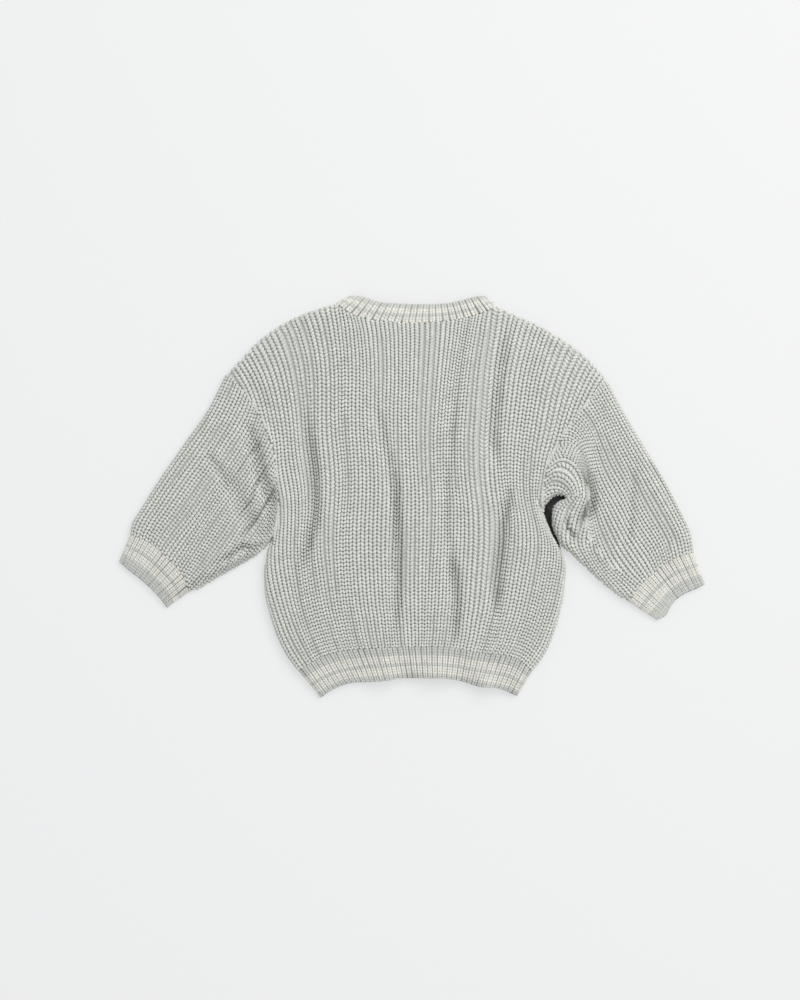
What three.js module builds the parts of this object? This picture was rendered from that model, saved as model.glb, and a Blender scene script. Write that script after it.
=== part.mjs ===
import * as THREE from 'three';
import { mergeVertices } from 'three/addons/utils/BufferGeometryUtils.js';

// A toddler's chunky rib pullover, laid flat on its front with the back uppermost.
// Millimetres. +X is the wearer's right, +Y points to the neck, +Z is up from the table.
// Each piece is one closed wall. Panels are sheets; sleeves and bands are flattened tubes.

const wall = 3.4;            // thickness of the knit, ribs left out
const ribRise = 1.2;         // how far a rib stands above the valleys beside it
const seamGap = 0.3;         // between neighbouring pieces, and between the two layers
const rim = 1.0;             // thickness that a panel keeps at its thinned side and shoulder edges
const rollRadius = 7;        // how far in from a folded edge the cloth starts to turn down
const fullness = 3.2;        // how far the upper layer stands off the lower one between the folds
const deepestTrough = -1.5;  // limits of the relief on the upper layer
const highestRidge = 7;
const mostLift = 5;          // limit of the hollow under a ridge
const hollowClear = 10;      // how far from a trough that hollow starts
const foldEnd = 0.25;        // share of a fold over which it fades at each end
const foldSteps = 24;        // straight pieces that a fold's path is taken in
const foldReach = 3;         // a fold is no longer felt this many spreads away
const turnParts = [0.12, 0.45];  // of the roll radius: where a plain skin bends at a folded edge
const clearOfTurn = 1.4;     // other columns keep this many times the last of those away

const backRibs = 42;
const shoulderRibs = 13;     // of the back's ribs, those that end on each shoulder
const sleeveRibs = 20;       // across the upper side of a sleeve and its cuff
const neckRibs = 24;         // across the upper side of the neckband
const sideRows = 8;          // rows of facets from the hem to the lower underarm
const underarmRows = 3;      // between the levels of the two underarms
const armholeRows = 9;
const sleeveRows = 11;
const bandRows = 3;
const plainColumns = 16;     // columns of facets on a band's or sleeve's plain skins
const shoulderColumns = 7;   // the same on the body, for each shoulder and for the neck
const neckColumns = 16;
const bodyHeight = 310;
const bodyWidth = 250;
const sleeveTaper = 0.85;    // a sleeve's mean width over its armhole's length

const layerTop = wall;                   // top of the lower layer
const upperBase = wall + seamGap;        // underside of the upper layer
const middle = wall + seamGap / 2;       // level at which the two layers meet in a fold
const upperSkin = upperBase + wall;      // valley between ribs where the upper layer lies down

const yarnGrey = { color: 0xbdbfb9, roughness: 0.95, metalness: 0 };
const yarnCream = { color: 0xd6d7cf, roughness: 0.95, metalness: 0 };

// Outlines of the pieces, each row a point of the seam or edge as it lies.
const hemSeam = [
  { x: -102, y: -157 }, { x: -90, y: -149 }, { x: -78, y: -142.5 }, { x: -58, y: -138 },
  { x: -29, y: -136 }, { x: 2, y: -135 }, { x: 34, y: -135.5 }, { x: 59, y: -140 },
  { x: 84, y: -142.5 }, { x: 97, y: -147 }, { x: 108, y: -157 },
];
const hemEdge = [
  { x: -82, y: -181 }, { x: -70, y: -173 }, { x: -54, y: -167.5 }, { x: -37, y: -167 },
  { x: -22, y: -165.5 }, { x: -11, y: -163.5 }, { x: 11, y: -163.5 }, { x: 32, y: -164 },
  { x: 47, y: -167 }, { x: 61, y: -171 }, { x: 77, y: -172.5 }, { x: 95, y: -179.5 },
];
const leftSide = [
  { x: -102, y: -157 }, { x: -112, y: -144 }, { x: -121, y: -126 }, { x: -128, y: -104 },
  { x: -132, y: -84 }, { x: -132, y: -63 }, { x: -129, y: -48 }, { x: -125, y: -37 },
];
const rightSide = [
  { x: 108, y: -157 }, { x: 120, y: -141 }, { x: 128, y: -122 }, { x: 134, y: -102 },
  { x: 137, y: -82 }, { x: 138, y: -63 }, { x: 134, y: -49 }, { x: 126.5, y: -36 },
  { x: 121.5, y: -22 }, { x: 117.5, y: -11 }, { x: 119.5, y: -3.5 },
];
const rightSideBelow = [       // the lower layer shows in the slit under the right arm
  { x: 108, y: -157 }, { x: 120, y: -141 }, { x: 128, y: -122 }, { x: 134, y: -102 },
  { x: 137, y: -82 }, { x: 138, y: -63 }, { x: 134, y: -49 }, { x: 130, y: -40 },
  { x: 125.5, y: -29 }, { x: 124, y: -18 }, { x: 123.5, y: -10 }, { x: 119.5, y: -3.5 },
];
const leftArmhole = [
  { x: -125, y: -37 }, { x: -121, y: -17 }, { x: -120, y: 0 }, { x: -121.5, y: 20 },
  { x: -124, y: 42 }, { x: -130, y: 60 }, { x: -139, y: 77 }, { x: -151, y: 94 },
  { x: -167, y: 109.5 },
];
const rightArmhole = [
  { x: 119.5, y: -3.5 }, { x: 118.5, y: 8 }, { x: 119.5, y: 20 }, { x: 123.5, y: 33 },
  { x: 130.5, y: 46 }, { x: 139, y: 60 }, { x: 148, y: 72 }, { x: 157, y: 83 },
  { x: 167, y: 95 }, { x: 176, y: 104 },
];
const leftShoulder = [
  { x: -167, y: 109.5 }, { x: -155, y: 122 }, { x: -141, y: 137 }, { x: -126, y: 149 },
  { x: -110, y: 159 }, { x: -90, y: 167 }, { x: -68, y: 174 },
];
const rightShoulder = [
  { x: 77, y: 171 }, { x: 95, y: 162.5 }, { x: 115, y: 154 }, { x: 135, y: 142 },
  { x: 155, y: 127.5 }, { x: 169, y: 113 }, { x: 176, y: 104 },
];
const backNeck = [
  { x: -68, y: 174 }, { x: -56, y: 165 }, { x: -43, y: 160 }, { x: -20, y: 157 },
  { x: 7, y: 156 }, { x: 34, y: 158 }, { x: 56, y: 162.5 }, { x: 77, y: 171 },
];
const backBandEdge = [
  { x: -55, y: 181 }, { x: -44, y: 180 }, { x: -29, y: 175.5 }, { x: -11, y: 174 },
  { x: 9, y: 173.5 }, { x: 29, y: 174 }, { x: 45, y: 177 }, { x: 56, y: 180 }, { x: 66, y: 181 },
];
const frontNeck = [
  { x: -68, y: 174 }, { x: -54, y: 150 }, { x: -26, y: 128 }, { x: 5, y: 122 },
  { x: 36, y: 128 }, { x: 64, y: 148 }, { x: 77, y: 171 },
];
const frontBandEdge = [
  { x: -55, y: 181 }, { x: -44, y: 161 }, { x: -22, y: 145 }, { x: 5, y: 141 },
  { x: 32, y: 145 }, { x: 55, y: 161 }, { x: 66, y: 181 },
];
const leftSleeveOuter = [
  { x: -167, y: 109.5 }, { x: -183, y: 78 }, { x: -204, y: 48 }, { x: -224, y: 19.5 },
  { x: -242, y: -8.5 }, { x: -251, y: -23 }, { x: -253, y: -34 },
];
const leftSleeveInner = [
  { x: -125, y: -37 }, { x: -135, y: -49 }, { x: -147, y: -57 }, { x: -161, y: -65 },
  { x: -177, y: -74 }, { x: -188, y: -81 }, { x: -200, y: -86 },
];
const leftCuffSeam = [
  { x: -253, y: -34 }, { x: -245, y: -37 }, { x: -235, y: -42 }, { x: -225, y: -50 },
  { x: -217, y: -58 }, { x: -210, y: -65 }, { x: -204, y: -74 }, { x: -200, y: -86 },
];
const leftCuffEdge = [
  { x: -263, y: -59 }, { x: -253, y: -67.5 }, { x: -242, y: -76 }, { x: -233, y: -84.5 },
  { x: -226, y: -92 }, { x: -220, y: -100 },
];
const rightSleeveOuter = [
  { x: 176, y: 104 }, { x: 190.5, y: 76 }, { x: 207.5, y: 47 }, { x: 224, y: 19.5 },
  { x: 239, y: -8.5 }, { x: 250, y: -31 }, { x: 253.5, y: -50.5 },
];
const rightSleeveInner = [
  { x: 119.5, y: -3.5 }, { x: 127, y: -9.5 }, { x: 126, y: -18 }, { x: 127, y: -28 },
  { x: 132.5, y: -41 }, { x: 143, y: -51 }, { x: 158, y: -65 }, { x: 174, y: -79.5 },
  { x: 195, y: -95 },
];
const rightCuffSeam = [
  { x: 253.5, y: -50.5 }, { x: 243, y: -53 }, { x: 233, y: -57 }, { x: 224, y: -63 },
  { x: 214, y: -71.5 }, { x: 207, y: -78 }, { x: 201, y: -85 }, { x: 195, y: -95 },
];
const rightCuffEdge = [
  { x: 263.5, y: -79 }, { x: 256.5, y: -82.5 }, { x: 248, y: -86 }, { x: 241, y: -90 },
  { x: 236, y: -94 }, { x: 232, y: -100 }, { x: 228, y: -107 }, { x: 220.5, y: -111 },
];

// Folds of the upper layer: the rise (a trough's is below 0), the distance over which it
// fades to each side, and the path that it follows.
const folds = [
  { rise: -7, spread: 5.5, path: [
    { x: -97, y: 82 }, { x: -92, y: 50 }, { x: -88, y: 18 }, { x: -87.5, y: -18 },
    { x: -95, y: -45 }, { x: -107, y: -75 },
  ] },
  { rise: -6, spread: 5, path: [
    { x: -36, y: 104 }, { x: -27, y: 62 }, { x: -19, y: 27 }, { x: -14.5, y: -5 },
    { x: -12.5, y: -60 }, { x: -15, y: -137 },
  ] },
  { rise: -3.5, spread: 5, path: [
    { x: 40, y: 112 }, { x: 36, y: 60 }, { x: 31, y: 10 }, { x: 33, y: -40 },
    { x: 39, y: -85 }, { x: 37, y: -138 },
  ] },
  { rise: -3, spread: 5, path: [{ x: 35, y: -50 }, { x: 40, y: -90 }, { x: 37, y: -138 }] },
  { rise: -5.5, spread: 5.5, path: [
    { x: 84, y: 152 }, { x: 79, y: 110 }, { x: 73, y: 60 }, { x: 79, y: 22 },
  ] },
  { rise: -7, spread: 5.5, path: [
    { x: 88, y: 14 }, { x: 83, y: -20 }, { x: 77, y: -70 }, { x: 76, y: -112 },
  ] },
  { rise: -5, spread: 5, path: [
    { x: -150, y: 72 }, { x: -140, y: 42 }, { x: -136, y: 22 }, { x: -129, y: 5 },
    { x: -123, y: -12 },
  ] },
  { rise: -4.5, spread: 4.5, path: [
    { x: -180, y: -63 }, { x: -163, y: -52 }, { x: -154, y: -45.5 }, { x: -142, y: -46 },
    { x: -124, y: -38 },
  ] },
  { rise: -3, spread: 4.5, path: [
    { x: -216, y: -85 }, { x: -195, y: -74 }, { x: -175, y: -67 }, { x: -152, y: -59 },
  ] },
  { rise: -2.4, spread: 6, path: [
    { x: -186, y: 42 }, { x: -165, y: 19 }, { x: -162, y: 1 }, { x: -170, y: -17 },
  ] },
  { rise: -6.5, spread: 6, path: [
    { x: 149, y: 42 }, { x: 154, y: 20 }, { x: 160, y: 4 }, { x: 160, y: -10 },
    { x: 150, y: -20 }, { x: 138, y: -26 },
  ] },
  { rise: -2.4, spread: 5, path: [{ x: 201, y: 28 }, { x: 197, y: -8 }, { x: 194, y: -54 }] },
  { rise: -2, spread: 5, path: [
    { x: 163, y: 99 }, { x: 143, y: 72 }, { x: 127, y: 47 }, { x: 119, y: 22 },
  ] },
  { rise: -1.8, spread: 8, path: [{ x: 92, y: 148 }, { x: 118, y: 138 }, { x: 146, y: 118 }] },
  { rise: -2, spread: 6, path: [{ x: -150, y: 112 }, { x: -138, y: 95 }, { x: -128, y: 76 }] },
  { rise: -1.4, spread: 11, path: [{ x: -108, y: 150 }, { x: -88, y: 142 }, { x: -70, y: 128 }] },
  { rise: 3.6, spread: 6, path: [
    { x: 121, y: 15 }, { x: 131, y: 20 }, { x: 143, y: 14 }, { x: 149, y: 2 },
    { x: 146, y: -12 },
  ] },
  { rise: 2, spread: 6.5, path: [
    { x: 133, y: -14 }, { x: 132, y: -28 }, { x: 140, y: -42 }, { x: 160, y: -60 },
  ] },
  { rise: 1.6, spread: 8, path: [{ x: 158, y: 104 }, { x: 135, y: 80 }, { x: 110, y: 46 }] },
  { rise: 1.4, spread: 10, path: [{ x: -73, y: 40 }, { x: -71, y: -20 }, { x: -80, y: -92 }] },
  { rise: 1.4, spread: 10, path: [{ x: 9, y: 40 }, { x: 9, y: -60 }, { x: 12, y: -130 }] },
  { rise: 1.6, spread: 9, path: [{ x: 57, y: 60 }, { x: 58, y: -40 }, { x: 59, y: -126 }] },
  { rise: 1.5, spread: 10, path: [{ x: 104, y: 34 }, { x: 107, y: -50 }, { x: 102, y: -122 }] },
  { rise: 1.2, spread: 9, path: [{ x: -112, y: 18 }, { x: -117, y: -70 }, { x: -106, y: -122 }] },
  { rise: 1.6, spread: 18, path: [{ x: -190, y: 56 }, { x: -202, y: 14 }, { x: -218, y: -22 }] },
  { rise: 1.6, spread: 16, path: [{ x: 186, y: 66 }, { x: 214, y: 8 }, { x: 224, y: -34 }] },
];

const evenShares = (count) => Array.from({ length: count + 1 }, (_, i) => i / count);

const cubicWeights = (before, a, b, after, w) => {
  const startSlope = (b - before) / 2;
  const endSlope = (after - a) / 2;
  const third = 2 * a - 2 * b + startSlope + endSlope;
  const second = -3 * a + 3 * b - 2 * startSlope - endSlope;
  return ((third * w + second) * w + startSlope) * w + a;
};

// A smooth line through the rows of an outline, read by its share of the length.
function smoothLine(rows, finePoints = 240) {
  const points = [];
  for (let i = 0; i <= finePoints; i += 1) {
    const place = (i / finePoints) * (rows.length - 1);
    const k = Math.min(Math.floor(place), rows.length - 2);
    const [p0, p1, p2, p3] = [k - 1, k, k + 1, k + 2].map(
      (row) => rows[Math.min(Math.max(row, 0), rows.length - 1)],
    );
    points.push({
      x: cubicWeights(p0.x, p1.x, p2.x, p3.x, place - k),
      y: cubicWeights(p0.y, p1.y, p2.y, p3.y, place - k),
    });
  }
  return straightLine(points);
}

// The same through straight pieces.
function straightLine(points) {
  const reached = [0];
  for (let i = 1; i < points.length; i += 1) {
    reached.push(reached[i - 1] + Math.hypot(points[i].x - points[i - 1].x, points[i].y - points[i - 1].y));
  }
  const length = reached[points.length - 1];
  const at = (share) => {
    const target = Math.min(Math.max(share, 0), 1) * length;
    let k = 1;
    while (k < points.length - 1 && reached[k] < target) k += 1;
    const w = (target - reached[k - 1]) / (reached[k] - reached[k - 1]);
    return {
      x: points[k - 1].x + (points[k].x - points[k - 1].x) * w,
      y: points[k - 1].y + (points[k].y - points[k - 1].y) * w,
    };
  };
  return { at, length };
}

// A line taken in straight pieces between chosen shares of its length, so that the pieces
// sewn along it keep one line however finely each is divided.
function facetedLine(line, knots) {
  const points = knots.map((share) => line.at(share));
  const at = (share) => {
    let k = 1;
    while (k < knots.length - 1 && knots[k] < share) k += 1;
    const w = (share - knots[k - 1]) / (knots[k] - knots[k - 1]);
    return {
      x: points[k - 1].x + (points[k].x - points[k - 1].x) * w,
      y: points[k - 1].y + (points[k].y - points[k - 1].y) * w,
    };
  };
  return { at, length: line.length };
}

// Lines end to end as one, each with its share of the whole.
function joinedLine(parts) {
  const total = parts.reduce((sum, part) => sum + part.share, 0);
  const at = (share) => {
    let left = Math.min(Math.max(share, 0), 1) * total;
    let k = 0;
    while (k < parts.length - 1 && left > parts[k].share) {
      left -= parts[k].share;
      k += 1;
    }
    return parts[k].line.at(left / parts[k].share);
  };
  return { at };
}

const reversedLine = (line) => ({ at: (share) => line.at(1 - share), length: line.length });

// A patch between four lines: s runs from first to last, t from start to end.
function patchBetween(start, end, first, last) {
  const corner = [start.at(0), start.at(1), end.at(0), end.at(1)];
  return (s, t) => {
    const [a, b, c, d] = [start.at(s), end.at(s), first.at(t), last.at(t)];
    const mix = (key) => (1 - t) * a[key] + t * b[key] + (1 - s) * c[key] + s * d[key]
      - (1 - s) * (1 - t) * corner[0][key] - s * (1 - t) * corner[1][key]
      - (1 - s) * t * corner[2][key] - s * t * corner[3][key];
    return { x: mix('x'), y: mix('y') };
  };
}

// Folds as finely divided paths that fade towards their ends.
const foldPaths = folds.map((fold) => {
  const line = smoothLine(fold.path);
  const points = evenShares(foldSteps).map((share) => {
    const fade = Math.min(1, share / foldEnd, (1 - share) / foldEnd);
    return { ...line.at(share), fade };
  });
  return { ...fold, points };
});

function reliefAt(x, y) {
  let relief = fullness;
  for (const fold of foldPaths) {
    let strongest = 0;
    for (const point of fold.points) {
      const away = Math.hypot(x - point.x, y - point.y) / fold.spread;
      if (away < foldReach) strongest = Math.max(strongest, point.fade * Math.exp(-away * away));
    }
    relief += fold.rise * strongest;
  }
  return Math.min(Math.max(relief, deepestTrough), highestRidge);
}

// The hollow under the upper layer, whose plain skin keeps clear of every trough near by.
function liftAt(x, y) {
  let lowest = reliefAt(x, y);
  for (const away of [hollowClear / 2, hollowClear]) {
    for (let turn = 0; turn < 2 * Math.PI; turn += Math.PI / 4) {
      lowest = Math.min(lowest, reliefAt(x + away * Math.cos(turn), y + away * Math.sin(turn)));
    }
  }
  return Math.min(Math.max(lowest, 0), mostLift);
}

// Two columns of facets to a rib: its valley, then its crest.
const crestAt = (columnNumber) => (columnNumber % 2 ? ribRise : 0);

// 0 on a folded edge, 1 where the cloth lies level again.
function rollAt(distance) {
  const left = 1 - Math.min(Math.max(distance / rollRadius, 0), 1);
  return Math.sqrt(1 - left * left);
}

// Shares for a plain wall, closer together next to its two folded edges.
function plainShares(width, inner = []) {
  const steps = inner.length ? inner : evenShares(plainColumns);
  const near = turnParts.map((part) => (part * rollRadius) / width);
  const clear = near[near.length - 1] * clearOfTurn;
  const kept = steps.filter((s) => s === 0 || s === 1 || (s > clear && s < 1 - clear));
  return [...kept, ...near, ...near.map((s) => 1 - s)].sort((a, b) => a - b);
}

class Walls {
  constructor() {
    this.corners = [];
  }

  triangle(a, b, c) {
    this.corners.push(a.x, a.y, a.z, b.x, b.y, b.z, c.x, c.y, c.z);
  }

  // rows of points, left to right and then upwards, as seen from the side that faces out
  sheet(rows, facesUp) {
    for (let j = 0; j + 1 < rows.length; j += 1) {
      for (let i = 0; i + 1 < rows[j].length; i += 1) {
        const [a, b, c, d] = [rows[j][i], rows[j][i + 1], rows[j + 1][i + 1], rows[j + 1][i]];
        if (facesUp) {
          this.triangle(a, b, c);
          this.triangle(a, c, d);
        } else {
          this.triangle(a, c, b);
          this.triangle(a, d, c);
        }
      }
    }
  }

  // closes the edge between an upper and a lower line of points that run the same way
  edge(upper, lower) {
    let i = 0;
    let k = 0;
    while (i + 1 < upper.length || k + 1 < lower.length) {
      const nextUpper = i + 1 < upper.length ? upper[i + 1].share : Infinity;
      const nextLower = k + 1 < lower.length ? lower[k + 1].share : Infinity;
      if (nextUpper <= nextLower) {
        this.triangle(upper[i + 1], upper[i], lower[k]);
        i += 1;
      } else {
        this.triangle(lower[k], lower[k + 1], upper[i]);
        k += 1;
      }
    }
  }

  // Six times the volume inside, below 0 where a mirrored patch has turned the faces in.
  signedVolume() {
    const at = (i) => new THREE.Vector3().fromArray(this.corners, i);
    let sum = 0;
    for (let i = 0; i < this.corners.length; i += 9) {
      sum += at(i).dot(at(i + 3).cross(at(i + 6)));
    }
    return sum;
  }

  turnFaces() {
    for (let i = 0; i < this.corners.length; i += 9) {
      const second = this.corners.slice(i + 3, i + 6);
      this.corners.splice(i + 3, 3, ...this.corners.slice(i + 6, i + 9));
      this.corners.splice(i + 6, 3, ...second);
    }
  }

  mesh(name, finish) {
    if (this.signedVolume() < 0) this.turnFaces();
    const soup = new THREE.BufferGeometry();
    soup.setAttribute('position', new THREE.Float32BufferAttribute(this.corners, 3));
    const geometry = mergeVertices(soup, 1e-4);
    geometry.computeVertexNormals();
    const mesh = new THREE.Mesh(geometry, new THREE.MeshStandardMaterial(finish));
    mesh.name = name;
    return mesh;
  }
}

const column = (rows, index) => rows.map((row) => row.at(index));
const backwards = (points) => [...points].reverse().map((point) => ({ ...point, share: 1 - point.share }));

// A panel: an outer and an inner skin, closed round their four edges.
function panel(name, finish, upperRows, lowerRows) {
  const walls = new Walls();
  walls.sheet(upperRows, true);
  walls.sheet(lowerRows, false);
  const last = upperRows.length - 1;
  const byRow = (points) => points.map((point, j) => ({ ...point, share: j / last }));
  walls.edge(upperRows[0], lowerRows[0]);
  walls.edge(byRow(column(upperRows, -1)), byRow(column(lowerRows, -1)));
  walls.edge(backwards(upperRows[last]), backwards(lowerRows[last]));
  walls.edge(backwards(byRow(column(upperRows, 0))), backwards(byRow(column(lowerRows, 0))));
  return walls.mesh(name, finish);
}

// A flattened tube: the upper layer's two skins, the lower layer's two, and the open ends.
function flatTube(name, finish, tube) {
  const { upper, lower, ribs, width, rows, plain } = tube;
  const wallShare = wall / width;
  const edgeDistance = (s) => Math.min(s, 1 - s) * width;
  const inset = (s) => wallShare + s * (1 - 2 * wallShare);
  // the lower layer's inner skin turns in to meet the upper one's at the folds
  const insideLower = (s, t) => {
    const [own, met, level] = [lower(inset(s), t), upper(inset(s), t), rollAt(edgeDistance(s))];
    const mix = (key) => own[key] * level + met[key] * (1 - level);
    return { x: mix('x'), y: mix('y') };
  };
  const grid = (shares, pointAt) => rows.map((t) => shares.map((s, i) => ({ ...pointAt(s, t, i), share: s })));
  const outerUpper = grid(evenShares(ribs * 2), (s, t, i) => {
    const at = upper(s, t);
    const rise = upperSkin + reliefAt(at.x, at.y) + crestAt(i) - middle;
    return { ...at, z: middle + rise * rollAt(edgeDistance(s)) };
  });
  const innerUpper = grid(plain, (s, t) => {
    const at = upper(inset(s), t);
    const lift = seamGap / 2 + liftAt(at.x, at.y);
    return { ...at, z: middle + lift * rollAt(edgeDistance(s)) };
  });
  const outerLower = grid(plain, (s, t) => ({ ...lower(s, t), z: middle * (1 - rollAt(edgeDistance(s))) }));
  const innerLower = grid(plain, (s, t) => {
    const at = insideLower(s, t);
    return { ...at, z: middle - (seamGap / 2) * rollAt(edgeDistance(s)) };
  });
  const walls = new Walls();
  const last = rows.length - 1;
  walls.sheet(outerUpper, true);
  walls.sheet(innerUpper, false);
  walls.sheet(innerLower, true);
  walls.sheet(outerLower, false);
  walls.edge(outerUpper[0], innerUpper[0]);
  walls.edge(innerLower[0], outerLower[0]);
  walls.edge(backwards(outerUpper[last]), backwards(innerUpper[last]));
  walls.edge(backwards(innerLower[last]), backwards(outerLower[last]));
  return walls.mesh(name, finish);
}

// Levels of the rows of facets on the body, as shares of each side's length.
const lines = {
  leftSide: smoothLine(leftSide),
  rightSide: smoothLine(rightSide),
  rightSideBelow: smoothLine(rightSideBelow),
  leftArmhole: smoothLine(leftArmhole),
  rightArmhole: smoothLine(rightArmhole),
  leftShoulder: smoothLine(leftShoulder),
  rightShoulder: smoothLine(rightShoulder),
  backNeck: smoothLine(backNeck),
};
const leftLength = lines.leftSide.length + lines.leftArmhole.length;
const rightLength = lines.rightSide.length + lines.rightArmhole.length;
const leftUnderarm = lines.leftSide.length / leftLength;
const rightUnderarm = lines.rightSide.length / rightLength;

const bodyRows = [
  ...evenShares(sideRows).map((w) => w * leftUnderarm),
  ...evenShares(underarmRows).slice(1).map((w) => leftUnderarm + w * (rightUnderarm - leftUnderarm)),
  ...evenShares(armholeRows).slice(1).map((w) => rightUnderarm + w * (1 - rightUnderarm)),
];

function facetedArmhole(line, underarm) {
  const above = bodyRows.filter((t) => t >= underarm);
  return facetedLine(line, above.map((t) => (t - underarm) / (1 - underarm)));
}
const leftArm = facetedArmhole(lines.leftArmhole, leftUnderarm);
const rightArm = facetedArmhole(lines.rightArmhole, rightUnderarm);

// Shares across the body's plain skins, with one at each end of the neck.
const neckStart = shoulderRibs / backRibs;
const bodyShares = plainShares(bodyWidth, [
  ...evenShares(shoulderColumns).map((w) => w * neckStart),
  ...evenShares(neckColumns).slice(1).map((w) => neckStart + w * (1 - 2 * neckStart)),
  ...evenShares(shoulderColumns).slice(1).map((w) => 1 - neckStart + w * neckStart),
]);
const hemLine = facetedLine(smoothLine(hemSeam), bodyShares);
const backNeckLine = facetedLine(lines.backNeck, evenShares(neckColumns));
const frontNeckLine = facetedLine(smoothLine(frontNeck), evenShares(neckColumns));

function bodyPatch(neckLine, rightSideLine) {
  const top = joinedLine([
    { line: lines.leftShoulder, share: shoulderRibs },
    { line: neckLine, share: backRibs - 2 * shoulderRibs },
    { line: lines.rightShoulder, share: shoulderRibs },
  ]);
  const left = joinedLine([
    { line: lines.leftSide, share: leftUnderarm },
    { line: leftArm, share: 1 - leftUnderarm },
  ]);
  const right = joinedLine([
    { line: rightSideLine, share: rightUnderarm },
    { line: rightArm, share: 1 - rightUnderarm },
  ]);
  return patchBetween(hemLine, top, left, right);
}

// How far the cloth has turned level at a place on the body: 0 on side seams and shoulders.
function bodyRoll(s, t) {
  const insideNeck = Math.max(0, Math.min(s - neckStart, 1 - neckStart - s)) * bodyWidth;
  const fromTop = Math.hypot((1 - t) * bodyHeight, insideNeck);
  const fromLeft = Math.hypot(s * bodyWidth, Math.max(0, t - leftUnderarm) * leftLength);
  const fromRight = Math.hypot((1 - s) * bodyWidth, Math.max(0, t - rightUnderarm) * rightLength);
  return rollAt(fromTop) * rollAt(fromLeft) * rollAt(fromRight);
}

const bodyGrid = (shares, pointAt) => bodyRows.map(
  (t) => shares.map((s, i) => ({ ...pointAt(s, t, i), share: s })),
);

function backPanel() {
  const patch = bodyPatch(backNeckLine, lines.rightSide);
  const edgeLevel = upperBase + rim;
  const outer = bodyGrid(evenShares(backRibs * 2), (s, t, i) => {
    const at = patch(s, t);
    const rise = upperSkin + reliefAt(at.x, at.y) + crestAt(i) - edgeLevel;
    return { ...at, z: edgeLevel + rise * bodyRoll(s, t) };
  });
  const inner = bodyGrid(bodyShares, (s, t) => {
    const at = patch(s, t);
    return { ...at, z: upperBase + liftAt(at.x, at.y) * bodyRoll(s, t) };
  });
  return panel('back_panel', yarnGrey, outer, inner);
}

function frontPanel() {
  const patch = bodyPatch(frontNeckLine, lines.rightSideBelow);
  const inner = bodyGrid(bodyShares, (s, t) => ({ ...patch(s, t), z: layerTop }));
  const outer = bodyGrid(bodyShares, (s, t) => {
    const z = (layerTop - rim) * (1 - bodyRoll(s, t));
    return { ...patch(s, t), z };
  });
  return panel('front_panel', yarnGrey, inner, outer);
}

// Shares across a sleeve's plain skins: two columns to each straight piece of the armhole.
function sleeveShares(underarm, width) {
  const knots = bodyRows.filter((t) => t >= underarm).map((t) => 1 - (t - underarm) / (1 - underarm));
  knots.reverse();
  const halves = knots.slice(1).map((share, k) => (share + knots[k]) / 2);
  return plainShares(width, [...knots, ...halves].sort((a, b) => a - b));
}

function sleeve(name, side) {
  const outerEdge = smoothLine(side.outer);
  const innerEdge = smoothLine(side.inner);
  const patch = patchBetween(reversedLine(side.armhole), smoothLine(side.cuffSeam), outerEdge, innerEdge);
  const start = (2 * seamGap) / outerEdge.length;
  const end = 1 - seamGap / outerEdge.length;
  const rows = evenShares(sleeveRows).map((w) => start + w * (end - start));
  const width = side.armhole.length * sleeveTaper;
  return flatTube(name, yarnGrey, {
    upper: patch, lower: patch, ribs: sleeveRibs, width, rows, plain: sleeveShares(side.underarm, width),
  });
}

// A band along a seam: upper and lower layers each between their seam and their free edge.
function band(name, finish, edges) {
  const { seam, edge, lowerSeam = seam, lowerEdge = edge, ribs } = edges;
  const { width = seam.length, shares = plainShares(width) } = edges;
  const [sewn, free] = [seam.at(0.5), edge.at(0.5)];
  const across = (from, to, share) => straightLine([from.at(share), to.at(share)]);
  const patchOf = (from, to) => patchBetween(from, to, across(from, to, 0), across(from, to, 1));
  const start = seamGap / Math.hypot(free.x - sewn.x, free.y - sewn.y);
  return flatTube(name, finish, {
    upper: patchOf(seam, edge),
    lower: patchOf(lowerSeam, lowerEdge),
    ribs,
    width,
    rows: evenShares(bandRows).map((w) => start + w * (1 - start)),
    plain: shares,
  });
}

const pullover = new THREE.Group();
pullover.add(backPanel(), frontPanel());
pullover.add(sleeve('left_sleeve', {
  armhole: leftArm, underarm: leftUnderarm, outer: leftSleeveOuter, inner: leftSleeveInner,
  cuffSeam: leftCuffSeam,
}));
pullover.add(sleeve('right_sleeve', {
  armhole: rightArm, underarm: rightUnderarm, outer: rightSleeveOuter, inner: rightSleeveInner,
  cuffSeam: rightCuffSeam,
}));
pullover.add(band('left_cuff', yarnCream, {
  seam: smoothLine(leftCuffSeam), edge: smoothLine(leftCuffEdge), ribs: sleeveRibs,
}));
pullover.add(band('right_cuff', yarnCream, {
  seam: smoothLine(rightCuffSeam), edge: smoothLine(rightCuffEdge), ribs: sleeveRibs,
}));
pullover.add(band('hem_band', yarnCream, {
  seam: hemLine, edge: smoothLine(hemEdge), ribs: backRibs, width: bodyWidth, shares: bodyShares,
}));
pullover.add(band('neckband', yarnCream, {
  seam: backNeckLine, edge: smoothLine(backBandEdge), lowerSeam: frontNeckLine,
  lowerEdge: smoothLine(frontBandEdge), ribs: neckRibs,
  shares: plainShares(backNeckLine.length, evenShares(neckColumns)),
}));

// The origin is under the middle of the whole garment.
const box = new THREE.Box3().setFromObject(pullover);
pullover.position.set(-(box.min.x + box.max.x) / 2, -(box.min.y + box.max.y) / 2, -box.min.z);

export default pullover;
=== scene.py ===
import math

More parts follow.
